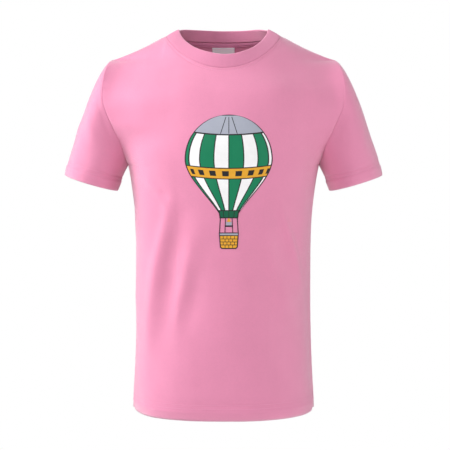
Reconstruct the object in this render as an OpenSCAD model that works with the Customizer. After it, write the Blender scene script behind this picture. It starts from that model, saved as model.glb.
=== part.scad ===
// Child's short-sleeved T-shirt, filled out as it hangs on its wearer.
// +Z up, front towards -Y, +X the wearer's left. Millimetres.
// The origin is midway between the two neck points, where the shoulder seams meet the neckband.

/* [Body] */
// Length from the neck point to the bottom edge
body_len = 522; // [440:1:620]
// Width across the chest at the armpits
chest_w = 266; // [220:1:320]
// Width at the waist
waist_w = 244; // [200:1:300]
// Width at the bottom edge
hem_w = 257; // [210:1:310]
// Depth from front to back at the chest
chest_d = 189; // [150:1:230]
// Depth from front to back at the waist
waist_d = 180; // [140:1:220]
// Depth from front to back at the bottom edge
hem_d = 184; // [140:1:220]

/* [Shoulders and armholes] */
// Distance between the shoulder points
shoulder_w = 312; // [260:1:370]
// How far the shoulder point lies below the neck point
shoulder_drop = 34; // [20:1:45]
// Sag of the shoulder seam below a straight line
shoulder_sag = 2.5; // [0:0.5:6]
// Height of the round of the shoulder, from its seam down to the flat of the chest
shoulder_round = 85; // [60:1:100]
// Height of the same round behind the neck, where the cloth goes over the back sooner
nape_round = 40; // [30:1:60]
// Height of the armhole
armhole_h = 143; // [110:1:180]
// Depth of the armhole from front to back
armhole_d = 92; // [70:1:110]
// How far the armhole seam bows out past the shoulder point
armhole_bow = 9; // [0:0.5:12]

/* [Neck] */
// Width of the neckline from neck point to neck point
neck_w = 159; // [130:1:190]
// Depth of the front neckline below the neck points
front_drop = 47; // [36:1:60]
// Depth of the back neckline below the neck points
back_drop = 4.5; // [3:0.5:16]
// Distance from the neck points forward to the middle of the front neckline
neck_front = 64; // [50:1:75]
// Distance from the neck points back to the middle of the back neckline
neck_back = 57; // [45:1:70]
// Width of the neckband
rib_w = 20; // [12:0.5:28]
// Width of the neckband in the middle of the back, where it is drawn in
rib_back_w = 16.5; // [10:0.5:28]
// Thickness of the neckband, rib folded double
rib_t = 1.8; // [1.2:0.1:3]
// Lean of the neckband from upright at the sides, degrees
rib_lean_side = 62; // [45:1:70]
// Lean of the neckband from upright at the front, degrees
rib_lean_front = 15; // [5:1:30]
// Lean of the neckband from upright at the back, degrees
rib_lean_back = 13; // [5:1:45]

/* [Sleeves] */
// Length along the top of the sleeve, from shoulder point to cuff
sleeve_len = 171.5; // [140:0.5:230]
// Fall of the sleeve's top below level, degrees
sleeve_fall = 67; // [60:1:75]
// Rise of the cuff's edge from armpit side to outer side, degrees
cuff_tilt = 17; // [8:0.5:24]
// Width of the cuff seen from the front
cuff_w = 79; // [65:1:95]
// Depth of the cuff from front to back
cuff_d = 98; // [80:1:120]

/* [Cloth and hems] */
// Thickness of the jersey
jersey_t = 0.8; // [0.6:0.1:1.2]
// Height of the bottom hem's turn-up
hem_h = 22; // [15:1:30]
// Height of the sleeve hem's turn-up
cuff_hem_h = 20; // [12:1:25]

/* [Tape and labels] */
// Width of the tape over the back neck seam
tape_w = 8; // [6:0.5:14]
// Width of the tape over each shoulder seam
shoulder_tape_w = 10; // [8:0.5:14]
// Thickness of the tapes
tape_t = 0.5; // [0.4:0.1:0.8]
// Clearance between a tape, label or print and the cloth that it lies on
lay_gap = 0.25; // [0.1:0.05:0.4]
// Width of the neck label
label_w = 32; // [20:1:45]
// Height of the neck label
label_h = 42; // [25:1:55]
// Thickness of the labels
label_t = 0.4; // [0.3:0.1:0.8]
// How far the care label stands in from the side seam
care_w = 30; // [20:1:45]
// Height of the care label
care_h = 50; // [30:1:70]
// Height of the care label's lower edge above the bottom edge
care_up = 90; // [60:1:140]

/* [Print] */
// Width of the balloon's envelope
print_w = 117; // [90:1:140]
// Height of the whole print
print_h = 178; // [150:1:210]
// Distance from the neck points' level down to the top of the print
print_down = 110; // [80:1:140]
// Distance of the print's middle from the shirt's middle, towards the wearer's left
print_side = 7; // [-20:0.5:20]
// Width of the balloon's mouth and basket
basket_w = 27; // [20:1:40]
// Height of the basket
basket_h = 22; // [16:1:30]
// Thickness of the printed film
print_t = 0.25; // [0.2:0.05:0.5]

/* [Hidden] */

PINK = [0.90, 0.60, 0.73];
PINK_RIB = [0.92, 0.62, 0.75];
PINK_TAPE = [0.86, 0.55, 0.68];
WHITE = [0.93, 0.93, 0.92];
GREEN = [0.0, 0.47, 0.33];

// Heights of the body's main levels
z_hem = -body_len;
z_tip = -shoulder_drop;
z_armpit = z_tip - armhole_h;
// Shares of the depth that lie in front of the side seams and behind them
front_share = 0.51;
back_share = 1 - front_share;
// Roundness of a level cut through the body, and how it softens above the armpits
crown_power = 2.4;
side_power = 2.2;
shoulder_power = 1.25;
// How closely the armhole's own depth keeps to its seam, at the armpit and higher up
spread_low = 4.5;
spread_high = 1.7;
// Fall of the sleeve's top as it leaves the seam, in shoulder slopes, and how far the cloth runs
// straight on from the armhole and back from the cuff, as shares of its length
sleeve_top_fall = 1.35;
sleeve_start = 0.15;
sleeve_finish = 0.34;

// How finely the cloth is divided
COLS_NECK = 8;
COLS_SHOULDER = 8;
COLS = COLS_NECK + COLS_SHOULDER;
ROWS_BODY = 9;
ROWS_ARMHOLE = 12;
ROWS = ROWS_BODY + ROWS_ARMHOLE;
RINGS_SLEEVE = 8;

function mix(a, b, q) = a + (b - a) * q;
function clamp01(q) = min(1, max(0, q));
function ease(q) = let (c = clamp01(q)) c * c * (3 - 2 * c);
function unit(v) = v / norm(v);
function flip_y(p) = [p[0], -p[1], p[2]];

// Smooth interpolation in a table whose first column rises
function span_of(tab, z, i = 0) = (i >= len(tab) - 2 || z <= tab[i + 1][0]) ? i : span_of(tab, z, i + 1);
function slope_at(tab, i, c) =
    let (a = max(i - 1, 0), b = min(i + 1, len(tab) - 1))
    (tab[b][c] - tab[a][c]) / (tab[b][0] - tab[a][0]);
function at(tab, z, c) =
    let (i = span_of(tab, z), h = tab[i + 1][0] - tab[i][0], q = clamp01((z - tab[i][0]) / h))
    let (m0 = slope_at(tab, i, c) * h, m1 = slope_at(tab, i + 1, c) * h)
    (2 * q^3 - 3 * q^2 + 1) * tab[i][c] + (q^3 - 2 * q^2 + q) * m0
    + (3 * q^2 - 2 * q^3) * tab[i + 1][c] + (q^3 - q^2) * m1;

// Below the armpits: share of the way up, then the weights of the hem's, waist's and chest's sizes,
// for the widths and for the depths
WIDTHS = [
    [0.00, 1.00, 0.00, 0.00],
    [0.27, 0.25, 0.75, 0.00],
    [0.55, 0.00, 1.00, 0.00],
    [0.77, 0.00, 0.90, 0.10],
    [0.92, 0.00, 0.42, 0.58],
    [1.00, 0.00, 0.00, 1.00]
];
DEPTHS = [
    [0.00, 1.00, 0.00, 0.00],
    [0.27, 0.25, 0.75, 0.00],
    [0.50, 0.00, 1.00, 0.00],
    [0.68, 0.00, 0.74, 0.26],
    [0.86, 0.00, 0.16, 0.84],
    [1.00, 0.00, 0.00, 1.00]
];
function body_size(weights, z, hem, waist, chest) =
    let (q = clamp01((z - z_hem) / (z_armpit - z_hem)))
    at(weights, q, 1) * hem + at(weights, q, 2) * waist + at(weights, q, 3) * chest;

// Up the armhole: share of its height, share of the way out to the shoulder point, share of the bow
ARMHOLE = [
    [0.00, 0.00, 0.00],
    [0.19, 0.35, 0.00],
    [0.36, 0.75, 0.10],
    [0.50, 0.97, 0.50],
    [0.64, 1.00, 0.94],
    [0.88, 1.00, 0.65],
    [1.00, 1.00, 0.00]
];
function armhole_x(z) =
    let (q = clamp01((z - z_armpit) / armhole_h))
    mix(chest_w / 2, shoulder_w / 2, at(ARMHOLE, q, 1)) + armhole_bow * at(ARMHOLE, q, 2);
function edge_x(z) = z <= z_armpit ? body_size(WIDTHS, z, hem_w, waist_w, chest_w) / 2 : armhole_x(z);

// Above the armpits: height, depth in front, depth behind, both on the middle line
UPPER = [
    [z_armpit, chest_d * front_share, chest_d * back_share],
    [mix(z_armpit, z_tip, 0.18), chest_d * front_share, chest_d * back_share * 1.01],
    [mix(z_armpit, z_tip, 0.39), chest_d * front_share * 0.975, chest_d * back_share * 1.02],
    [mix(z_armpit, z_tip, 0.67), mix(neck_front, chest_d * front_share, 0.67), chest_d * back_share * 0.98],
    [-front_drop, neck_front + 1, mix(neck_back, chest_d * back_share, 0.62)],
    [-back_drop, neck_front * 0.88, neck_back + 1],
    [shoulder_drop, neck_front * 0.75, neck_back * 0.8]
];
function middle_depth(z, back) =
    z <= z_armpit
    ? body_size(DEPTHS, z, hem_d, waist_d, chest_d) * (back ? back_share : front_share)
    : at(UPPER, z, back ? 2 : 1);

// Height of the shoulder line, carried on inwards over the neck
function shoulder_z(x) =
    let (q = (x - neck_w / 2) / ((shoulder_w - neck_w) / 2))
    -shoulder_drop * q - shoulder_sag * sin(180 * clamp01(q));
// Share of the depth that the cloth has reached at a height below the shoulder line
front_roundness = 1.8;
back_roundness = 2;
function round_over(x, z, back) =
    let (out = ease((abs(x) - neck_w / 2) / ((shoulder_w - neck_w) / 2)))
    let (height = back ? mix(nape_round, shoulder_round, out) : shoulder_round)
    let (q = clamp01((shoulder_z(abs(x)) - z) / height))
    (1 - (1 - q)^2)^(1 / (back ? back_roundness : front_roundness));
function armhole_depth(z) =
    let (q = (z - (z_tip + z_armpit) / 2) / (armhole_h / 2))
    abs(q) >= 1 ? 0 : armhole_d / 2 * sqrt(1 - q^2);
// Depth of the cloth before (or behind) the seams, at a place seen from the front
function depth(x, z, back) =
    let (u = clamp01(abs(x) / edge_x(z)))
    let (power = mix(side_power, shoulder_power, ease((z - z_armpit) / (0.5 * armhole_h))))
    let (crown = max(0, 1 - u^crown_power)^(1 / power))
    let (middle = middle_depth(z, back) * round_over(x, z, back))
    let (spread = mix(spread_low, spread_high, ease((z - z_armpit) / (0.4 * armhole_h))))
    middle * crown + armhole_depth(z) * (1 - crown)^spread;

// How the neckline falls away from the neck points
neckline_power = 1.6;

// Columns run from the middle (0) to the side (COLS), rows from the bottom (0) to the top (ROWS)
function col_share(i) =
    i <= COLS_NECK
    ? neck_w / shoulder_w * sin(90 * i / COLS_NECK)
    : mix(neck_w / shoulder_w, 1, sin(90 * (i - COLS_NECK) / COLS_SHOULDER));
function up_share(k) = (1 - cos(180 * (k - ROWS_BODY) / ROWS_ARMHOLE)) / 2;
function row_z(k) =
    k == 0 ? z_hem
    : k <= ROWS_BODY ? mix(z_hem + hem_h, z_armpit, (k - 1) / (ROWS_BODY - 1))
    : mix(z_armpit, z_tip, up_share(k));
function top_z(i, back) =
    i <= COLS_NECK
    ? -(back ? back_drop : front_drop) * cos(90 * i / COLS_NECK)^neckline_power
    : shoulder_z(col_share(i) * shoulder_w / 2);
function place(i, k, back) =
    let (a = abs(i), x = col_share(a) * edge_x(row_z(k)))
    let (z = k <= ROWS_BODY ? row_z(k) : mix(z_armpit, top_z(a, back), up_share(k)))
    let (seam = (a == COLS && k <= ROWS_BODY) || (k == ROWS && a >= COLS_NECK))
    [sign(i) * x, seam ? 0 : -depth(x, z, back), z];

// Neckband's frame at each turn of the neckline, which runs from the right neck point by the front
// to the left neck point and round the back: its upward direction and its outward normal
NECK_TURNS = 4 * COLS_NECK;
function rib_lean(j) =
    let (middle = j < NECK_TURNS / 2 ? rib_lean_front : rib_lean_back)
    mix(middle, rib_lean_side, cos(360 * j / NECK_TURNS)^2);
function rib_inward(j) =
    let (along = NECKLINE[(j + 1) % NECK_TURNS] - NECKLINE[(j + NECK_TURNS - 1) % NECK_TURNS])
    unit([-along[1], along[0], 0]);
function rib_up(j) = sin(rib_lean(j)) * rib_inward(j) + [0, 0, cos(rib_lean(j))];
function rib_out(j) = -cos(rib_lean(j)) * rib_inward(j) + [0, 0, sin(rib_lean(j))];
function neckline_out(i, back) = back ? flip_y(rib_out((3 * COLS_NECK - i) % NECK_TURNS)) : rib_out(i + COLS_NECK);

// Outward normal of the armhole at an angle from its top, shared by the panels and the sleeve.
// It halves the angle between the two; at the top and at the armpit, where three meet, it is set.
shoulder_slope = shoulder_drop / ((shoulder_w - neck_w) / 2);
armpit_slope = 0.8;
function armhole_out(j, back) =
    let (grid = back ? BACK : FRONT, k = ROWS - j)
    j == 0 ? unit([shoulder_slope, 0, 1])
    : j == ROWS_ARMHOLE ? unit([armpit_slope, 0, -1])
    : let (edge = grid[k][2 * COLS], rise = grid[k + 1][2 * COLS] - grid[k - 1][2 * COLS])
      let (panel = unit(cross(edge - grid[k][2 * COLS - 1], rise)))
      let (sleeve = unit(cross(SLEEVE[1][j] - SLEEVE[0][j], rise)))
      unit(panel + sleeve);

function panel_out(grid, i, k, back) =
    let (a = abs(i), s = sign(i), seam = a == COLS && k >= ROWS_BODY)
    let (n = seam ? armhole_out(ROWS - k, back) : [0, 0, 0])
    seam ? [s * n[0], n[1], n[2]]
    : a == COLS ? [s, 0, 0]
    : k == ROWS && a > COLS_NECK ? unit([s * shoulder_slope, 0, 1])
    : k == ROWS ? neckline_out(i, back)
    : let (c = i + COLS)
      let (across = grid[k][c + 1] - grid[k][c - 1])
      let (up = grid[k + 1][c] - grid[max(k - 1, 0)][c])
      unit(cross(across, up));

function outer_grid(back) = [for (k = [0:ROWS]) [for (i = [-COLS:COLS]) place(i, k, back)]];
function offset_grid(grid, back, by) =
    [for (k = [0:ROWS]) [for (i = [-COLS:COLS]) grid[k][i + COLS] + by * panel_out(grid, i, k, back)]];

FRONT = outer_grid(false);
BACK = outer_grid(true);
NECKLINE = [
    for (j = [0:2 * COLS_NECK]) FRONT[ROWS][j - COLS_NECK + COLS],
    for (j = [2 * COLS_NECK + 1:NECK_TURNS - 1]) flip_y(BACK[ROWS][3 * COLS_NECK - j + COLS])
];

// A sheet between two grids of points. round joins its last column to its first.
// tilt says for each column which way its quads are split, so that neighbours match.
function flat_list(grid) = [for (row = grid) each row];
function quad(a, b, c, d) = [[a, b, c], [a, c, d]];
function split(a, b, c, d, tilted) = tilted ? quad(a, b, c, d) : quad(b, c, d, a);
function mirrored_tilt(cols) = [for (c = [0:cols - 1]) c >= (cols - 1) / 2];
module sheet(outer, inner, round = false, tilt = undef) {
    rows = len(outer);
    cols = len(outer[0]);
    last = round ? cols - 1 : cols - 2;
    under = rows * cols;
    tilts = tilt == undef ? mirrored_tilt(cols) : tilt;
    function n(k, c) = k * cols + c % cols;
    function patch(k, c) = split(n(k, c), n(k + 1, c), n(k + 1, c + 1), n(k, c + 1), tilts[c]);
    faces = [
        for (k = [0:rows - 2], c = [0:last]) each patch(k, c),
        for (k = [0:rows - 2], c = [0:last], t = patch(k, c)) [under + t[0], under + t[2], under + t[1]],
        for (c = [0:last])
            each quad(n(0, c), n(0, c + 1), under + n(0, c + 1), under + n(0, c)),
        for (c = [0:last])
            each quad(n(rows - 1, c + 1), n(rows - 1, c), under + n(rows - 1, c), under + n(rows - 1, c + 1)),
        if (!round) for (k = [0:rows - 2])
            each quad(n(k + 1, 0), n(k, 0), under + n(k, 0), under + n(k + 1, 0)),
        if (!round) for (k = [0:rows - 2])
            each quad(n(k, cols - 1), n(k + 1, cols - 1), under + n(k + 1, cols - 1), under + n(k, cols - 1))
    ];
    polyhedron(concat(flat_list(outer), flat_list(inner)), faces, convexity = 6);
}

module front_panel() {
    color(PINK) sheet(FRONT, FRONT_IN);
}

module back_panel() {
    color(PINK) mirror([0, 1, 0]) sheet(BACK, BACK_IN);
}

// Sleeve. Points run round from the top, by the front, the armpit and the back.
TURNS = 2 * ROWS_ARMHOLE;
cuff_along = [cos(cuff_tilt), 0, sin(cuff_tilt)];
sleeve_end_dir = [sin(cuff_tilt), 0, -cos(cuff_tilt)];
sleeve_top_dir = unit([1, 0, -shoulder_slope * sleeve_top_fall]);
shoulder_point = [shoulder_w / 2, 0, z_tip];
cuff_centre = shoulder_point + sleeve_len * [cos(sleeve_fall), 0, -sin(sleeve_fall)] - cuff_w / 2 * cuff_along;
function armhole_point(turn) =
    let (z = (z_tip + z_armpit) / 2 + armhole_h / 2 * cos(turn))
    [armhole_x(z), -armhole_d / 2 * sin(turn), z];
function cuff_point(turn, back_off) =
    cuff_centre - back_off * sleeve_end_dir + cuff_w / 2 * cos(turn) * cuff_along - [0, cuff_d / 2 * sin(turn), 0];
function bezier(p, t) =
    (1 - t)^3 * p[0] + 3 * t * (1 - t)^2 * p[1] + 3 * t^2 * (1 - t) * p[2] + t^3 * p[3];
function sleeve_point(turn, t) =
    let (a = armhole_point(turn), b = cuff_point(turn, cuff_hem_h), span = norm(b - a))
    let (start = unit(mix(sleeve_top_dir, sleeve_end_dir, ease((1 - cos(turn)) / 2))))
    bezier([a, a + sleeve_start * span * start, b - sleeve_finish * span * sleeve_end_dir, b], t);
SLEEVE = [
    for (r = [0:RINGS_SLEEVE]) [for (j = [0:TURNS - 1]) sleeve_point(360 * j / TURNS, r / RINGS_SLEEVE)],
    [for (j = [0:TURNS - 1]) cuff_point(360 * j / TURNS, 0)]
];
function sleeve_out(r, j) =
    r == 0 ? (j <= ROWS_ARMHOLE ? armhole_out(j, false) : flip_y(armhole_out(TURNS - j, true)))
    : let (round = SLEEVE[r][(j + 1) % TURNS] - SLEEVE[r][(j + TURNS - 1) % TURNS])
      let (down = SLEEVE[min(r + 1, RINGS_SLEEVE + 1)][j] - SLEEVE[r - 1][j])
      unit(cross(round, down));
function sleeve_offset(by) =
    [for (r = [0:RINGS_SLEEVE + 1]) [for (j = [0:TURNS - 1]) SLEEVE[r][j] + by * sleeve_out(r, j)]];
SLEEVE_IN = sleeve_offset(-jersey_t);
FRONT_IN = offset_grid(FRONT, false, -jersey_t);
BACK_IN = offset_grid(BACK, true, -jersey_t);
SLEEVE_TILT = [for (j = [0:TURNS - 1]) j >= ROWS_ARMHOLE];

module sleeve() {
    color(PINK) sheet(SLEEVE, SLEEVE_IN, round = true, tilt = SLEEVE_TILT);
}

module sleeve_hem() {
    color(PINK) sheet(
        [SLEEVE_IN[RINGS_SLEEVE], SLEEVE_IN[RINGS_SLEEVE + 1]],
        [for (r = [RINGS_SLEEVE, RINGS_SLEEVE + 1])
            [for (j = [0:TURNS - 1]) SLEEVE[r][j] - 2 * jersey_t * sleeve_out(r, j)]],
        round = true, tilt = SLEEVE_TILT);
}

// Bottom hem: the turn-up, one ring inside both panels
function ring_row(front, back, k) = concat(
    [for (i = [-COLS:COLS]) front[k][i + COLS]],
    [for (i = [COLS - 1:-1:-COLS + 1]) flip_y(back[k][i + COLS])]
);
module bottom_hem() {
    front_deep = offset_grid(FRONT, false, -2 * jersey_t);
    back_deep = offset_grid(BACK, true, -2 * jersey_t);
    color(PINK) sheet(
        [for (k = [0, 1]) ring_row(FRONT_IN, BACK_IN, k)],
        [for (k = [0, 1]) ring_row(front_deep, back_deep, k)],
        round = true, tilt = [for (j = [0:4 * COLS - 1]) (j >= COLS && j < 2 * COLS) || j >= 3 * COLS]);
}

// Neckband: a rounded profile carried round the neckline
rib_round = rib_t / 2;
RIB_PROFILE = concat(
    [[0, 0], [rib_w * 0.5, 0]],
    [for (a = [90:-45:-90]) [rib_w - rib_round + rib_round * cos(a), -rib_round + rib_round * sin(a)]],
    [[rib_w * 0.5, -rib_t], [0, -rib_t]]
);
function rib_share(j) = mix(1, rib_back_w / rib_w, max(0, -sin(360 * j / NECK_TURNS))^2);
function rib_point(j, p) = NECKLINE[j] + p[0] * rib_share(j) * rib_up(j) + p[1] * rib_out(j);
module neck_rib() {
    m = len(RIB_PROFILE);
    points = [for (j = [0:NECK_TURNS - 1], p = RIB_PROFILE) rib_point(j, p)];
    function n(j, c) = (j % NECK_TURNS) * m + c % m;
    color(PINK_RIB) polyhedron(points, [
        for (j = [0:NECK_TURNS - 1], c = [0:m - 1])
            each quad(n(j, c), n(j, c + 1), n(j + 1, c + 1), n(j + 1, c))
    ], convexity = 6);
}

// A line on the inside of a panel, a way down from its top row and a way in from its inner face
function inside_point(inner, outer, c, k, down, by) =
    let (a = inner[k][c], b = inner[k - 1][c], step = norm(b - a), q = down / step)
    q > 1 ? inside_point(inner, outer, c, k - 1, down - step, by)
    : mix(a, b, q) + by * unit(mix(a, b, q) - mix(outer[k][c], outer[k - 1][c], q));
function inside_line(back, first, last, down, by) =
    [for (i = [first:last])
        inside_point(back ? BACK_IN : FRONT_IN, back ? BACK : FRONT, i + COLS, ROWS, down, by)];
// How far below the seam the neck tape's upper edge lies
tape_edge = 0.6;
module neck_tape() {
    first = -COLS_NECK + 1;
    last = COLS_NECK - 1;
    function face(by) = [for (q = [1:-0.2:0]) inside_line(true, first, last, mix(tape_edge, tape_w, q), by)];
    color(PINK_TAPE) mirror([0, 1, 0]) sheet(face(lay_gap), face(lay_gap + tape_t));
}

// Shoulder tape: three lines under the seam, at its front edge, on the seam and at its back edge
module shoulder_tape() {
    first = COLS_NECK + 1;
    last = COLS - 1;
    function edge(by, back) = inside_line(back, first, last, shoulder_tape_w / 2, by);
    function bent(by) = [
        edge(by, false),
        inside_line(false, first, last, 0, by),
        [for (p = edge(by, true)) flip_y(p)]
    ];
    color(PINK_TAPE) sheet(bent(lay_gap), bent(lay_gap + tape_t));
}

// Labels
module neck_label() {
    foot = inside_line(true, 1, 1, tape_w, lay_gap + tape_t)[0];
    color(WHITE) translate([-label_w / 2, -foot[1] - lay_gap - label_t, foot[2] - label_h])
        cube([label_w, label_t, label_h]);
}

module care_label() {
    z_low = z_hem + care_up;
    x_seam = min(edge_x(z_low), edge_x(z_low + care_h)) - jersey_t - lay_gap;
    color(WHITE) translate([x_seam - care_w, -label_t / 2, z_low]) cube([care_w, label_t, care_h]);
}

// Print: the outline of a hot-air balloon with its basket, laid on the front
print_top = -print_down;
print_bottom = print_top - print_h;
envelope_r = print_w / 2;
mouth_z = print_bottom + basket_h * 2.2;
PRINT_ROWS = 16;
PRINT_COLS = 8;
print_lift = 0.4;
function print_half(z) =
    let (up = z - (print_top - envelope_r))
    let (below = (print_top - envelope_r - z) / (print_top - envelope_r - mouth_z))
    up > 0 ? max(envelope_r * sqrt(max(0, 1 - (up / envelope_r)^2)), basket_w / 4)
    : z > mouth_z ? mix(envelope_r, basket_w / 2, ease(below) * 0.5 + below^2 * 0.5)
    : basket_w / 2;
function print_grid(by) =
    [for (k = [0:PRINT_ROWS]) [for (i = [-PRINT_COLS:PRINT_COLS])
        let (z = mix(print_bottom, print_top, k / PRINT_ROWS))
        let (x = print_side + print_half(z) * i / PRINT_COLS)
        [x, -depth(x, z, false) - by, z]]];
module chest_print() {
    color(GREEN) sheet(print_grid(print_lift + print_t), print_grid(print_lift));
}

front_panel();
back_panel();
sleeve();  // left_sleeve
mirror([1, 0, 0]) sleeve();  // right_sleeve
neck_rib();
neck_tape();
shoulder_tape();  // left_shoulder_tape
mirror([1, 0, 0]) shoulder_tape();  // right_shoulder_tape
neck_label();
bottom_hem();
sleeve_hem();  // left_sleeve_hem
mirror([1, 0, 0]) sleeve_hem();  // right_sleeve_hem
care_label();
chest_print();
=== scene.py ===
"""Looks of a child's short-sleeved T-shirt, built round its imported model.

The jersey body and sleeves, the rib neckband, the hems, seams, tapes and labels and the printed
balloon are each made here as cloth with its own relief, stitches and finish. Lengths are in
millimetres until a mesh is made. +Z is up, the front faces -Y and +X is the wearer's left.
"""

from __future__ import annotations

import logging
import math
from dataclasses import dataclass, field
from enum import Enum
from typing import Sequence

import bpy
import numpy as np
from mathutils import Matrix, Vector
from mathutils.geometry import delaunay_2d_cdt

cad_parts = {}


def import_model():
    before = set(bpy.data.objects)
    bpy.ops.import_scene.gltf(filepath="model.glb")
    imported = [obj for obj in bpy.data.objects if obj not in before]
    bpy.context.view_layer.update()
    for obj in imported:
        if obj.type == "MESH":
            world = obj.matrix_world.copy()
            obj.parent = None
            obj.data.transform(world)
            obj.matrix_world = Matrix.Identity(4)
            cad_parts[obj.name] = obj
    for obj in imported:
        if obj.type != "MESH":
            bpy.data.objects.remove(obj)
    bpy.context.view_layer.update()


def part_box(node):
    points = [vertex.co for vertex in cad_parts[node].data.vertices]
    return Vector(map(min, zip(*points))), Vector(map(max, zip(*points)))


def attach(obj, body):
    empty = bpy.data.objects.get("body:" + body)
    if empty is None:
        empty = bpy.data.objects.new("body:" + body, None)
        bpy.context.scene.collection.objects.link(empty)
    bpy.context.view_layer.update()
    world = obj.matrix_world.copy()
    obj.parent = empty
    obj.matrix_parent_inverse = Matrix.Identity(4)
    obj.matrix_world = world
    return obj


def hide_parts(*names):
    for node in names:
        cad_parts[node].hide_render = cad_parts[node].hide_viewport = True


log = logging.getLogger("tshirt")

Array = np.ndarray
Socket = bpy.types.NodeSocket
Colour = tuple[float, float, float]
MM = 0.001
GRAIN = "grain"
# mesh attribute: rubbing on the jersey's edges, and on the rib the share of each valley between ribs, which
# its finish darkens as painted shade
WEAR_AND_RIB_SHADE = "wear_and_rib_shade"
BODY = "root"
TINY = 1e-12
WALE, COURSE = 0.85, 0.66  # one loop of the jersey
ON_CLOTH = 0.02  # how far the path of a stitch row stands off the cloth
LAYER_GAP = 0.05  # between the cloth and a layer turned up inside it
LOOP_REST = 0.1  # between a turned-up layer and the threads over its raw edge
NAP = {"Sheen_Weight": 0.6, "Sheen_Roughness": 0.5, "Sheen_Tint": (1.0, 0.97, 0.98)}


# ---------------------------------------------------------------- small sums


def mix(a: Array | float, b: Array | float, q: Array | float) -> Array:
    """Returns the value a share q of the way from a to b."""
    return a + (b - a) * q


def ease(q: Array | float) -> Array:
    """Returns q limited to 0..1 with a soft start and a soft end."""
    c = np.clip(q, 0, 1)
    return c * c * (3 - 2 * c)


def unit(v: Array) -> Array:
    """Returns the vectors along the last axis at length 1."""
    return v / np.maximum(np.linalg.norm(v, axis=-1, keepdims=True), TINY)


def lengths_along(points: Array, axis: int) -> Array:
    """Returns each point's distance from the first one, walked along an axis of a grid.

    Args:
        points: grid of points, (rows, cols, 3).
        axis: 0 to walk up the rows, 1 to walk across the columns.

    Returns:
        Array of (rows, cols) with the walked lengths.
    """
    steps = np.linalg.norm(np.diff(points, axis=axis), axis=-1)
    start = np.zeros_like(np.take(steps, [0], axis=axis))
    return np.concatenate([start, np.cumsum(steps, axis=axis)], axis=axis)
def walked(path: Array) -> Array:
    """Returns each point's distance from the first one along a run of points."""
    return lengths_along(path[None], 1)[0]


def closed(run: Array) -> Array:
    """Returns a run of values with its first one repeated at its end."""
    return np.concatenate([run, run[:1]])
@dataclass(frozen=True)
class Curve:
    """Smooth curves through a table whose first column rises."""

    rows: tuple[tuple[float, ...], ...]

    def at(self, where: Array | float, column: int) -> Array:
        """Looks one column up.

        Args:
            where: places in the first column.
            column: which column to read.

        Returns:
            The column's values there, held at the table's ends.
        """
        tab = np.array(self.rows)
        x, y = tab[:, 0], tab[:, column]
        last = len(x) - 1
        i = np.clip(np.searchsorted(x, where, side="left") - 1, 0, last - 1)
        here = np.arange(last + 1)
        before, after = np.maximum(here - 1, 0), np.minimum(here + 1, last)
        slope = (y[after] - y[before]) / (x[after] - x[before])
        h = x[i + 1] - x[i]
        q = np.clip((where - x[i]) / h, 0, 1)
        return (
            (2 * q**3 - 3 * q**2 + 1) * y[i]
            + (q**3 - 2 * q**2 + q) * slope[i] * h
            + (3 * q**2 - 2 * q**3) * y[i + 1]
            + (q**3 - q**2) * slope[i + 1] * h
        )


class Side(Enum):
    """The two halves of the body."""

    FRONT = "front"
    BACK = "back"


# ---------------------------------------------------------------- the shirt's form


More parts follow.
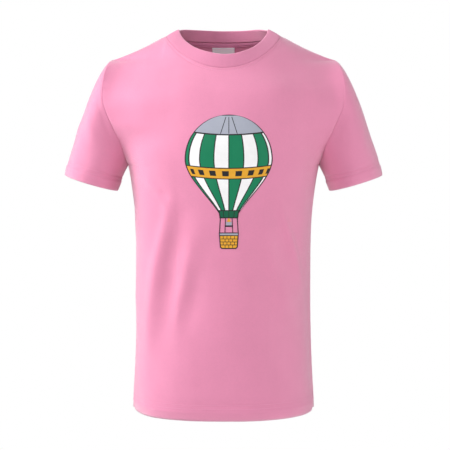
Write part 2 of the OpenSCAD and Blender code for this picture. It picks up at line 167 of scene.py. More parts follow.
@dataclass(frozen=True)
class ShirtForm:
    """The shirt's smooth shape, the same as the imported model's. Sizes in millimetres.

    A place on a panel is (u, v). u runs from -2 at one side over 0 in the middle to 2 at the other,
    and is 1 at the neck point. v runs from 0 at the hem over 1 at the armpit to 2 at the top edge.
    """

    body_len: float = 522.0
    chest_w: float = 266.0
    waist_w: float = 244.0
    hem_w: float = 257.0
    chest_d: float = 189.0
    waist_d: float = 180.0
    hem_d: float = 184.0
    shoulder_w: float = 312.0
    shoulder_drop: float = 34.0
    shoulder_sag: float = 2.5
    shoulder_round: float = 85.0
    nape_round: float = 40.0
    armhole_h: float = 143.0
    armhole_d: float = 92.0
    armhole_bow: float = 9.0
    neck_w: float = 159.0
    front_drop: float = 47.0
    back_drop: float = 4.5
    neck_front: float = 64.0
    neck_back: float = 57.0
    sleeve_len: float = 171.5
    sleeve_fall: float = 67.0
    cuff_tilt: float = 17.0
    cuff_w: float = 79.0
    cuff_d: float = 98.0
    hem_h: float = 22.0
    cuff_hem_h: float = 20.0
    jersey_t: float = 0.8
    front_share: float = 0.51
    sleeve_slope: float = 1.35  # times the shoulder's slope, where the sleeve leaves it
    sleeve_start: float = 0.15  # share of the length over which it keeps that way
    sleeve_end: float = 0.34  # share over which it runs straight to the cuff
    crown: tuple[float, float] = (2.2, 1.25)  # roundness at the armpits and above them
    crown_flat: float = 2.4
    edge_spread: tuple[float, float] = (4.5, 1.7)
    crown_rise: float = 0.5  # share of the armhole's height over which the crown changes
    edge_rise: float = 0.4
    top_round: tuple[float, float] = (1.8, 2.0)  # front and back
    neck_curve: float = 1.6
    find_rounds: int = 14
    width_levels: Curve = Curve(
        (
            (0.00, 1.00, 0.00, 0.00),
            (0.27, 0.25, 0.75, 0.00),
            (0.55, 0.00, 1.00, 0.00),
            (0.77, 0.00, 0.90, 0.10),
            (0.92, 0.00, 0.42, 0.58),
            (1.00, 0.00, 0.00, 1.00),
        )
    )
    depth_levels: Curve = Curve(
        (
            (0.00, 1.00, 0.00, 0.00),
            (0.27, 0.25, 0.75, 0.00),
            (0.50, 0.00, 1.00, 0.00),
            (0.68, 0.00, 0.74, 0.26),
            (0.86, 0.00, 0.16, 0.84),
            (1.00, 0.00, 0.00, 1.00),
        )
    )
    armhole: Curve = Curve(
        (
            (0.00, 0.00, 0.00),
            (0.19, 0.35, 0.00),
            (0.36, 0.75, 0.10),
            (0.50, 0.97, 0.50),
            (0.64, 1.00, 0.94),
            (0.88, 1.00, 0.65),
            (1.00, 1.00, 0.00),
        )
    )

    @property
    def z_hem(self) -> float:
        """Height of the bottom edge."""
        return -self.body_len

    @property
    def z_tip(self) -> float:
        """Height of the shoulder points."""
        return -self.shoulder_drop

    @property
    def z_armpit(self) -> float:
        """Height of the armpits."""
        return self.z_tip - self.armhole_h

    @property
    def armhole_mid(self) -> float:
        """Height of the armholes' middle."""
        return (self.z_tip + self.z_armpit) / 2

    @property
    def shoulder_run(self) -> float:
        """How far out one shoulder line runs."""
        return (self.shoulder_w - self.neck_w) / 2

    @property
    def slope(self) -> float:
        """Fall of the shoulder line over its run."""
        return self.shoulder_drop / self.shoulder_run

    def body_size(self, levels: Curve, z: Array, sizes: tuple[float, float, float]) -> Array:
        """Blends a size of the body below the armpits.

        Args:
            levels: weights of the hem's, waist's and chest's sizes.
            z: heights.
            sizes: those three sizes.

        Returns:
            The size at each height.
        """
        q = np.clip((z - self.z_hem) / (self.z_armpit - self.z_hem), 0, 1)
        return sum(levels.at(q, n + 1) * size for n, size in enumerate(sizes))

    def armhole_x(self, z: Array) -> Array:
        """Returns how far out the armhole seam lies at each height."""
        q = np.clip((z - self.z_armpit) / self.armhole_h, 0, 1)
        run = mix(self.chest_w / 2, self.shoulder_w / 2, self.armhole.at(q, 1))
        return run + self.armhole_bow * self.armhole.at(q, 2)

    def edge_x(self, z: Array) -> Array:
        """Returns half the body's width at each height."""
        low = self.body_size(self.width_levels, z, (self.hem_w, self.waist_w, self.chest_w)) / 2
        return np.where(z <= self.z_armpit, low, self.armhole_x(z))

    def middle_depth(self, z: Array, side: Side) -> Array:
        """Finds the depth on the middle line.

        Args:
            z: heights.
            side: FRONT for the depth before the side seams, BACK for the depth behind them.

        Returns:
            The depth at each height.
        """
        deep_f, deep_b = self.chest_d * self.front_share, self.chest_d * (1 - self.front_share)
        share = self.front_share if side is Side.FRONT else 1 - self.front_share
        low = self.body_size(self.depth_levels, z, (self.hem_d, self.waist_d, self.chest_d)) * share
        armpit, span = self.z_armpit, self.z_tip - self.z_armpit
        upper = Curve(
            (
                (armpit, deep_f, deep_b),
                (armpit + 0.18 * span, deep_f, deep_b * 1.01),
                (armpit + 0.39 * span, deep_f * 0.975, deep_b * 1.02),
                (armpit + 0.67 * span, mix(self.neck_front, deep_f, 0.67), deep_b * 0.98),
                (-self.front_drop, self.neck_front + 1, mix(self.neck_back, deep_b, 0.62)),
                (-self.back_drop, self.neck_front * 0.88, self.neck_back + 1),
                (self.shoulder_drop, self.neck_front * 0.75, self.neck_back * 0.8),
            )
        )
        return np.where(z <= armpit, low, upper.at(z, 1 if side is Side.FRONT else 2))

    def shoulder_z(self, x: Array) -> Array:
        """Returns the height of the shoulder line, carried on inwards over the neck."""
        q = (x - self.neck_w / 2) / self.shoulder_run
        return -self.shoulder_drop * q - self.shoulder_sag * np.sin(np.pi * np.clip(q, 0, 1))

    def round_over(self, x: Array, z: Array, side: Side) -> Array:
        """Finds how far the cloth has rounded over, below the shoulder line.

        Args:
            x: how far across.
            z: how high.
            side: which panel.

        Returns:
            The share of the full depth that is reached.
        """
        front = side is Side.FRONT
        out = ease((np.abs(x) - self.neck_w / 2) / self.shoulder_run)
        height = self.shoulder_round if front else mix(self.nape_round, self.shoulder_round, out)
        q = np.clip((self.shoulder_z(np.abs(x)) - z) / height, 0, 1)
        return (1 - (1 - q) ** 2) ** (1 / self.top_round[0 if front else 1])

    def depth(self, x: Array, z: Array, side: Side) -> Array:
        """Finds how far the cloth stands from the plane of the side seams.

        Args:
            x: how far across.
            z: how high.
            side: which panel.

        Returns:
            The distances, none below 0.
        """
        u = np.clip(np.abs(x) / self.edge_x(z), 0, 1)
        above = z - self.z_armpit
        power = mix(*self.crown, ease(above / (self.crown_rise * self.armhole_h)))
        crown = np.maximum(0, 1 - u**self.crown_flat) ** (1 / power)
        q = (z - self.armhole_mid) / (self.armhole_h / 2)
        edge = self.armhole_d / 2 * np.sqrt(np.maximum(0, 1 - q**2))
        spread = mix(*self.edge_spread, ease(above / (self.edge_rise * self.armhole_h)))
        middle = self.middle_depth(z, side) * self.round_over(x, z, side)
        return middle * crown + edge * (1 - crown) ** spread

    def col_share(self, u: Array) -> Array:
        """Returns the share of the half width at which a column stands."""
        a, neck = np.abs(u), self.neck_w / self.shoulder_w
        inner = neck * np.sin(np.pi / 2 * np.clip(a, 0, 1))
        return np.where(a <= 1, inner, mix(neck, 1, np.sin(np.pi / 2 * np.clip(a - 1, 0, 1))))

    def top_z(self, u: Array, side: Side) -> Array:
        """Returns the height of the panel's top edge: the neckline, then the shoulder seam."""
        drop = self.front_drop if side is Side.FRONT else self.back_drop
        bend = np.clip(np.cos(np.pi / 2 * np.clip(np.abs(u), 0, 1)), 0, 1)
        neck = -drop * bend**self.neck_curve
        return np.where(np.abs(u) <= 1, neck, self.shoulder_z(self.col_share(u) * self.shoulder_w / 2))

    def place(self, u: Array, v: Array, side: Side) -> Array:
        """Finds points of a panel.

        Args:
            u: places across, -2..2.
            v: places up, 0..2.
            side: which panel.

        Returns:
            Points, (..., 3).
        """
        up = (1 - np.cos(np.pi * np.clip(v - 1, 0, 1))) / 2
        low = mix(self.z_hem, self.z_armpit, np.clip(v, 0, 1))
        z_row = np.where(v <= 1, low, mix(self.z_armpit, self.z_tip, up))
        x = self.col_share(u) * self.edge_x(z_row)
        z = np.where(v <= 1, z_row, mix(self.z_armpit, self.top_z(u, side), up))
        seam = ((np.abs(u) >= 2) & (v <= 1)) | ((v >= 2) & (np.abs(u) >= 1))
        deep = np.where(seam, 0, self.depth(x, z, side))
        way = -1 if side is Side.FRONT else 1
        return np.stack([np.sign(u) * x, way * deep, z], axis=-1)

    def find(self, x: Array, z: Array, side: Side) -> tuple[Array, Array]:
        """Finds the (u, v) of places given as seen from the front.

        Args:
            x: how far across.
            z: how high.
            side: which panel.

        Returns:
            The arrays u and v.
        """
        neck = self.neck_w / self.shoulder_w
        u, v = np.zeros_like(x), np.ones_like(z)
        for _ in range(self.find_rounds):
            top = self.top_z(u, side)
            up = np.clip((z - self.z_armpit) / (top - self.z_armpit), 0, 1)
            low = np.clip((z - self.z_hem) / (self.z_armpit - self.z_hem), 0, 1)
            v = np.where(z <= self.z_armpit, low, 1 + np.arccos(1 - 2 * up) / np.pi)
            z_row = np.where(z <= self.z_armpit, z, mix(self.z_armpit, self.z_tip, up))
            share = np.clip(np.abs(x) / self.edge_x(z_row), 0, 1)
            inner = np.arcsin(np.clip(share / neck, 0, 1)) * 2 / np.pi
            outer = 1 + np.arcsin(np.clip((share - neck) / (1 - neck), 0, 1)) * 2 / np.pi
            u = np.sign(x) * np.where(share <= neck, inner, outer)
        return u, v

    def armhole_point(self, turn: Array) -> Array:
        """Returns points of the left armhole seam, from its top round by the front, in radians."""
        z = self.armhole_mid + self.armhole_h / 2 * np.cos(turn)
        return np.stack([self.armhole_x(z), -self.armhole_d / 2 * np.sin(turn), z], axis=-1)

    @property
    def sleeve_end_dir(self) -> Array:
        """Direction in which the sleeve runs out at its cuff."""
        tilt = math.radians(self.cuff_tilt)
        return np.array([math.sin(tilt), 0, -math.cos(tilt)])

    def cuff_point(self, turn: Array, back_off: Array | float) -> Array:
        """Finds points of the left cuff.

        Args:
            turn: angle round from the top by the front, radians.
            back_off: how far back from the cuff's edge.

        Returns:
            Points, (..., 3).
        """
        tilt, fall = math.radians(self.cuff_tilt), math.radians(self.sleeve_fall)
        along = np.array([math.cos(tilt), 0, math.sin(tilt)])
        centre = np.array([self.shoulder_w / 2, 0, self.z_tip])
        centre = centre + self.sleeve_len * np.array([math.cos(fall), 0, -math.sin(fall)])
        centre = centre - self.cuff_w / 2 * along
        back = np.asarray(back_off)[..., None] * self.sleeve_end_dir
        swing = self.cuff_w / 2 * np.cos(turn)[..., None] * along
        side = self.cuff_d / 2 * np.sin(turn)[..., None] * np.array([0, 1.0, 0])
        return centre - back + swing - side

    def sleeve_point(self, turn: Array, down: Array) -> Array:
        """Finds points of the left sleeve.

        Args:
            turn: angle round from the top by the front, radians.
            down: 0 at the armhole, 1 at the hem's stitching, 2 at the cuff's edge.

        Returns:
            Points, (..., 3).
        """
        a, b = self.armhole_point(turn), self.cuff_point(turn, self.cuff_hem_h)
        span = np.linalg.norm(b - a, axis=-1, keepdims=True)
        top_dir = unit(np.array([1, 0, -self.slope * self.sleeve_slope]))
        start = unit(mix(top_dir, self.sleeve_end_dir, ease((1 - np.cos(turn)) / 2)[..., None]))
        p1 = a + self.sleeve_start * span * start
        p2 = b - self.sleeve_end * span * self.sleeve_end_dir
        t = np.clip(down, 0, 1)[..., None]
        curve = (1 - t) ** 3 * a + 3 * t * (1 - t) ** 2 * p1 + 3 * t**2 * (1 - t) * p2 + t**3 * b
        low = self.cuff_point(turn, self.cuff_hem_h * (1 - np.clip(down - 1, 0, 1)))
        return np.where((down <= 1)[..., None], curve, low)

    def neckline(self, turn: Array) -> Array:
        """Returns points of the neckline, from the right neck point by the front. Turn in 0..4."""
        turn = np.mod(turn, 4)
        front = self.place(turn - 1, np.full_like(turn, 2.0), Side.FRONT)
        back = self.place(3 - turn, np.full_like(turn, 2.0), Side.BACK)
        return np.where((turn <= 2)[..., None], front, back)


# ---------------------------------------------------------------- relief of the cloth


@dataclass(frozen=True)
class Ridge:
    """One soft fold: a line over the cloth with a rise along it and a trough beside it.

    Attributes:
        line: places (x, z) that the fold runs through, in millimetres.
        width: half width of the rise.
        rise: height of the rise; below 0 it is a trough.
        trough: depth of the trough on the fold's +X side; below 0 it lies on the other side.
        spread: half width of the trough.
    """

    line: tuple[tuple[float, float], ...]
    width: float
    rise: float
    trough: float = 0.0
    spread: float = 14.0

    def smooth_line(self) -> Array:
        """Returns the fold's line as a dense smooth run of points."""
        rows = tuple((float(n), x, z) for n, (x, z) in enumerate(self.line))
        where = np.linspace(0, len(rows) - 1, 24 * (len(rows) - 1) + 1)
        curve = Curve(rows)
        return np.stack([curve.at(where, 1), curve.at(where, 2)], axis=-1)

    def height(self, x: Array, z: Array) -> Array:
        """Finds how far the fold lifts the cloth.

        Args:
            x: how far across.
            z: how high.

        Returns:
            The rise at each place, below 0 in a trough.
        """
        line = self.smooth_line()
        away = np.stack([x, z], axis=-1)[..., None, :] - line
        reach = np.linalg.norm(away, axis=-1)
        near = np.argmin(reach, axis=-1)
        way = np.gradient(line, axis=0)
        way = unit(way)[near]
        off = np.take_along_axis(away, near[..., None, None], axis=-2)[..., 0, :]
        across = off[..., 0] * -way[..., 1] + off[..., 1] * way[..., 0]
        across = np.where(way[..., 1] < 0, across, -across)
        beyond = np.abs(off[..., 0] * way[..., 0] + off[..., 1] * way[..., 1])
        ends = np.sin(np.pi * np.clip(near / (len(line) - 1), 0.0, 1.0)) ** 0.8
        fade = ends * np.exp(-((beyond / (1.5 * self.width)) ** 2))
        side = 1.0 if self.trough >= 0 else -1.0
        dip = np.exp(-(((across - side * (self.width * 0.7 + self.spread)) / self.spread) ** 2))
        return fade * (self.rise * np.exp(-((across / self.width) ** 2)) - abs(self.trough) * dip)


@dataclass(frozen=True)
class Ripple:
    """Faint irregular waves that no cloth is without, summed from seeded sine waves."""

    seed: int
    size: float
    low: float
    high: float
    count: int = 22

    def height(self, a: Array, b: Array) -> Array:
        """Sums the waves.

        Args:
            a: running length one way, in millimetres.
            b: running length the other way.

        Returns:
            The height at each place.
        """
        rng = np.random.RandomState(self.seed)
        total = np.zeros_like(a)
        for _ in range(self.count):
            wave = math.exp(rng.uniform(math.log(self.low), math.log(self.high)))
            way, shift = rng.uniform(0, 2 * math.pi), rng.uniform(0, 2 * math.pi)
            run = a * math.cos(way) + b * math.sin(way)
            total += (wave / self.high) * np.sin(2 * math.pi * run / wave + shift)
        return self.size * total / math.sqrt(self.count)


@dataclass(frozen=True)
class Seaming:
    """What sewing does to the cloth beside a seam or a hem, in millimetres."""

    puff: float = 0.3
    puff_at: float = 3.0
    pucker: float = 0.16
    pucker_pitch: float = 6.5
    groove: float = 0.8
    groove_w: float = 1.2
    tuck: float = 3.0
    double: float = 0.5
    double_ease: float = 2.0
    fold_dip: float = 0.55
    fold_w: float = 0.8
    pucker_at: float = 4.0

    def beside(self, away: Array, along: Array, seed: int) -> Array:
        """Returns the rise beside a seam.

        Args:
            away: distance from the seam.
            along: length along the seam.
            seed: keeps seams from looking alike.

        Returns:
            The rise, 0 on the seam itself.
        """
        swell = self.puff * away / self.puff_at * np.exp(1 - away / self.puff_at)
        pitch = self.pucker_pitch
        waves = Ripple(seed, 1.0, pitch * 0.7, pitch * 2.2, 9).height(along, 0 * along)
        return swell + self.pucker * waves * away / self.pucker_at * np.exp(1 - away / self.pucker_at)

    def sewn(self, away: Array, rows: Sequence[float]) -> Array:
        """Returns the dip of stitch rows that lie at given distances from an edge."""
        return -self.groove * sum(np.exp(-(((away - row) / self.groove_w) ** 2)) for row in rows)

    def turned(self, away: Array, height: float) -> Array:
        """Returns the rise of a turned-up edge: double cloth that rounds off at the fold."""
        double = self.double * ease((height - away) / self.double_ease)
        fold = self.fold_dip * np.exp(-away / self.fold_w)
        return double - fold - self.tuck * ease(1 - away / height)


# ---------------------------------------------------------------- cloth as grids of points


@dataclass
class Cloth:
    """A sheet of cloth as a grid of points with outward normals, in millimetres."""

    points: Array
    outward: int = 1
    round: bool = False
    normals: Array = field(init=False)

    def __post_init__(self) -> None:
        """Works out the normals."""
        self.refresh()

    def refresh(self) -> None:
        """Works the normals out again from the points."""
        p = self.points
        if self.round:
            across = np.roll(p, -1, axis=1) - np.roll(p, 1, axis=1)
        else:
            across = np.gradient(p, axis=1)
        up = np.gradient(p, axis=0)
        self.normals = self.outward * unit(np.cross(across, up))

    def lift(self, height: Array | float) -> Array:
        """Returns the grid moved out along its normals."""
        return self.points + np.asarray(height)[..., None] * self.normals

    def raise_by(self, height: Array) -> None:
        """Moves the cloth itself out along its normals."""
        self.points = self.lift(height)
        self.refresh()

    def sample(self, row: Array, col: Array, height: Array | float = 0.0) -> tuple[Array, Array]:
        """Reads points between the grid's own.

        Args:
            row: row numbers, with fractions.
            col: column numbers, with fractions.
            height: how far out from the cloth the points stand.

        Returns:
            The points and their normals.
        """
        rows, cols = self.points.shape[:2]
        r = np.clip(row, 0, rows - 1)
        c = np.mod(col, cols) if self.round else np.clip(col, 0, cols - 1)
        r0 = np.minimum(np.floor(r).astype(int), rows - 2)
        c0 = np.floor(c).astype(int) if self.round else np.minimum(np.floor(c).astype(int), cols - 2)
        c1 = (c0 + 1) % cols
        a, b = (r - r0)[..., None], (c - c0)[..., None]

        def read(grid: Array) -> Array:
            """Returns the grid's values, mixed from the four round each place."""
            low = grid[r0, c0] * (1 - b) + grid[r0, c1] * b
            high = grid[r0 + 1, c0] * (1 - b) + grid[r0 + 1, c1] * b
            return low * (1 - a) + high * a

        normals = unit(read(self.normals))
        return read(self.points) + np.asarray(height)[..., None] * normals, normals

    def area(self) -> float:
        """Returns the cloth's area in square metres."""
        p = self.points
        if self.round:
            p = np.concatenate([p, p[:, :1]], axis=1)
        a, b, c, d = p[:-1, :-1], p[:-1, 1:], p[1:, 1:], p[1:, :-1]
        twice = np.linalg.norm(np.cross(b - a, c - a), axis=-1)
        twice = twice + np.linalg.norm(np.cross(c - a, d - a), axis=-1)
        return float(twice.sum() / 2) * MM * MM

    def stitch(self, mesh: Mesh, row: Array, col: Array) -> None:
        """Sews a row of stitches on the cloth, through row and column numbers."""
        Needle().sew(mesh, *self.sample(row, col, ON_CLOTH))


@dataclass
class Mesh:
    """Points and faces that are being gathered for one Blender mesh."""

    points: list[Array] = field(default_factory=list)
    faces: list[Array] = field(default_factory=list)
    grain: list[Array] = field(default_factory=list)
    wear_and_rib_shade: list[Array] = field(default_factory=list)
    inks: list[Array] = field(default_factory=list)
    count: int = 0

    def add(
        self,
        points: Array,
        faces: Array,
        grain: Array | None = None,
        wear_and_rib_shade: Array | None = None,
        ink: int | Array = 0,
    ) -> None:
        """Adds points and faces.

        Args:
            points: (n, 3), in millimetres.
            faces: (m, 3 or 4) point numbers.
            grain: (n, 2) lengths across and along the cloth's grain, in millimetres.
            wear_and_rib_shade: (n,) amount of rubbing, or on the rib the share of a valley that is darkened
                as painted shade, 0..1.
            ink: material number of the faces.
        """
        points = points.reshape(-1, 3)
        self.points.append(points)
        self.faces.append(faces.reshape(-1, faces.shape[-1]) + self.count)
        self.grain.append(np.zeros((len(points), 2)) if grain is None else grain.reshape(-1, 2))
        self.wear_and_rib_shade.append(np.zeros(len(points)) if wear_and_rib_shade is None else wear_and_rib_shade.reshape(-1))
        self.inks.append(np.broadcast_to(np.asarray(ink), (self.faces[-1].shape[0],)))
        self.count += len(points)

    def build(self, name: str, finishes: Sequence[bpy.types.Material]) -> bpy.types.Object:
        """Makes the Blender object.

        Args:
            name: the piece's name.
            finishes: its materials, in the order of the ink numbers.

        Returns:
            The object, linked to the scene, in metres.
        """
        mesh = bpy.data.meshes.new(name)
        faces = [f for block in self.faces for f in block.tolist()]
        mesh.from_pydata((np.concatenate(self.points) * MM).tolist(), [], faces)
        mesh.polygons.foreach_set("material_index", np.concatenate(self.inks).astype(np.int32))
        mesh.polygons.foreach_set("use_smooth", np.ones(len(faces), bool))
        corner = np.zeros(len(mesh.loops), np.int32)
        mesh.loops.foreach_get("vertex_index", corner)
        layer = mesh.uv_layers.new(name=GRAIN)
        layer.data.foreach_set("uv", np.concatenate(self.grain)[corner].astype(np.float32).ravel())
        wear_and_rib_shade = mesh.attributes.new(WEAR_AND_RIB_SHADE, "FLOAT", "POINT")
        wear_and_rib_shade.data.foreach_set("value", np.concatenate(self.wear_and_rib_shade).astype(np.float32))
        for finish in finishes:
            mesh.materials.append(finish)
        mesh.update()
        piece = bpy.data.objects.new(name, mesh)
        bpy.context.scene.collection.objects.link(piece)
        return piece


def grid_faces(rows: int, cols: int, wrap: bool = False, flip: bool = False) -> Array:
    """Numbers the quads of a grid.

    Args:
        rows: rows of points.
        cols: columns of points.
        wrap: whether the last column joins the first.
        flip: whether to turn the faces over.

    Returns:
        Array of (quads, 4).
    """
    r, c = np.meshgrid(np.arange(rows - 1), np.arange(cols if wrap else cols - 1), indexing="ij")
    nxt = (c + 1) % cols
    quads = np.stack([r * cols + c, r * cols + nxt, (r + 1) * cols + nxt, (r + 1) * cols + c], axis=-1)
    quads = quads.reshape(-1, 4)
    return quads[:, ::-1] if flip else quads


def shell(
    cloth: Cloth, thickness: float, grain: Array, wear_and_rib_shade: Array | None = None, start: float = 0.0
) -> Mesh:
    """Makes a sheet of cloth with its thickness: an outer face, an inner face and their edges.

    Args:
        cloth: the outer face.
        thickness: of the cloth.
        grain: (rows, cols, 2) lengths for the knit.
        wear_and_rib_shade: (rows, cols) amount of rubbing, or None for none.
        start: how far in from the cloth the outer face lies.

    Returns:
        A mesh with the sheet in it.
    """
    rows, cols = cloth.points.shape[:2]
    flip = cloth.outward < 0
    outer, inner = cloth.lift(-start), cloth.lift(-start - thickness)
    n = rows * cols
    faces = [
        grid_faces(rows, cols, cloth.round, flip),
        n + grid_faces(rows, cols, cloth.round, not flip),
    ]
    top, low = np.arange(cols) + (rows - 1) * cols, np.arange(cols)
    runs = [(low[::-1], cloth.round), (top, cloth.round)]
    if not cloth.round:
        side = np.arange(rows) * cols
        runs += [(side, False), ((side + cols - 1)[::-1], False)]
    for run, wrap in runs:
        a, b = (run, np.roll(run, -1)) if wrap else (run[:-1], run[1:])
        rim = np.stack([a, b, b + n, a + n], axis=-1)
        faces.append(rim[:, ::-1] if flip else rim)
    mesh = Mesh()
    mesh.add(
        np.concatenate([outer.reshape(-1, 3), inner.reshape(-1, 3)]),
        np.concatenate(faces),
        np.concatenate([grain.reshape(-1, 2)] * 2),
        None if wear_and_rib_shade is None else np.concatenate([wear_and_rib_shade.reshape(-1)] * 2),
    )
    return mesh


def resample(path: Array, others: Sequence[Array], where: Array) -> list[Array]:
    """Reads a path and what runs along it at given lengths.

    Args:
        path: (n, 3) points.
        others: arrays of (n, 3) that go with the points.
        where: lengths along the path.

    Returns:
        The path and the others at those lengths.
    """
    steps = walked(path)
    return [
        np.stack([np.interp(where, steps, a[:, n]) for n in range(3)], axis=-1)
        for a in (path, *others)
    ]


def path_length(path: Array) -> float:
    """Returns the length of a run of points."""
    return float(np.linalg.norm(np.diff(path, axis=0), axis=1).sum())


def strand(mesh: Mesh, path: Array, normals: Array, radius: float, sides: int) -> None:
    """Adds one or many rounded threads.

    Args:
        mesh: where they go.
        path: (threads, n, 3) centre lines.
        normals: (threads, n, 3) directions that stand up from the cloth.
        radius: of the thread.
        sides: facets round it.
    """
    way = unit(np.gradient(path, axis=1))
    across = unit(np.cross(way, normals))
    up = np.cross(across, way)
    turn = 2 * np.pi * np.arange(sides) / sides
    ring = np.cos(turn)[:, None] * up[:, :, None, :] + np.sin(turn)[:, None] * across[:, :, None, :]
    taper = np.ones(path.shape[1])
    taper[[0, -1]] = 0.55
    points = path[:, :, None, :] + radius * taper[:, None, None] * ring
    threads, n = path.shape[:2]
    faces = grid_faces(n, sides, wrap=True)
    base = (np.arange(threads) * n * sides)[:, None, None]
    steps = lengths_along(path, 1)[:, :, None]
    grain = np.stack(np.broadcast_arrays(turn * radius, steps), axis=-1)
    mesh.add(points, (faces + base).reshape(-1, 4), grain)


@dataclass(frozen=True)
class Needle:
    """A row of machine stitches."""

    stitch: float = 2.7
    gap: float = 0.45
    thread: float = 0.24
    arch: float = 0.22
    points: int = 6
    sides: int = 6
    round: float = 0.6

    def sew(self, mesh: Mesh, path: Array, normals: Array) -> None:
        """Sews along a path on the cloth.

        Args:
            mesh: where the threads go.
            path: (n, 3) points on the cloth.
            normals: (n, 3) cloth normals.
        """
        total, share = path_length(path), self.stitch / (self.stitch + self.gap)
        count = max(1, int(total / (self.stitch + self.gap)))
        q = np.linspace(0, 1, self.points)
        where = (np.arange(count)[:, None] + 0.5 + (q - 0.5) * share) * (total / count)
        points, out = resample(path, [normals], where.ravel())
        out = unit(out).reshape(count, len(q), 3)
        arch = np.sin(np.pi * q) ** self.round
        hop = (self.arch * arch - self.thread * 0.9 * (1 - arch))[:, None]
        strand(mesh, points.reshape(count, len(q), 3) + hop * out, out, self.thread, self.sides)


@dataclass(frozen=True)
class Zigzag:
    """The looper threads that cover a raw edge on the wrong side."""

    width: float = 5.0
    pitch: float = 2.8
    thread: float = 0.22
    per_pitch: int = 8
    sides: int = 5

    def sew(self, mesh: Mesh, path: Array, across: Array, normals: Array) -> None:
        """Sews along a path.

        Args:
            mesh: where the threads go.
            path: (n, 3) points on the cloth.
            across: (n, 3) unit vectors across the seam, on the cloth.
            normals: (n, 3) directions that stand up from the cloth.
        """
        total = path_length(path)
        count = self.per_pitch * max(2, int(total / self.pitch)) + 1
        swing = np.sin(2 * np.pi * np.arange(count) / self.per_pitch)
        points, side, out = resample(path, [across, normals], np.linspace(0, total, count))
        side, out = unit(side), unit(out)
        line = points + swing[:, None] * self.width / 2 * side
        line = line + (self.thread * (1.1 - np.abs(swing)))[:, None] * out
        strand(mesh, line[None], out[None], self.thread, self.sides)


# ---------------------------------------------------------------- finishes


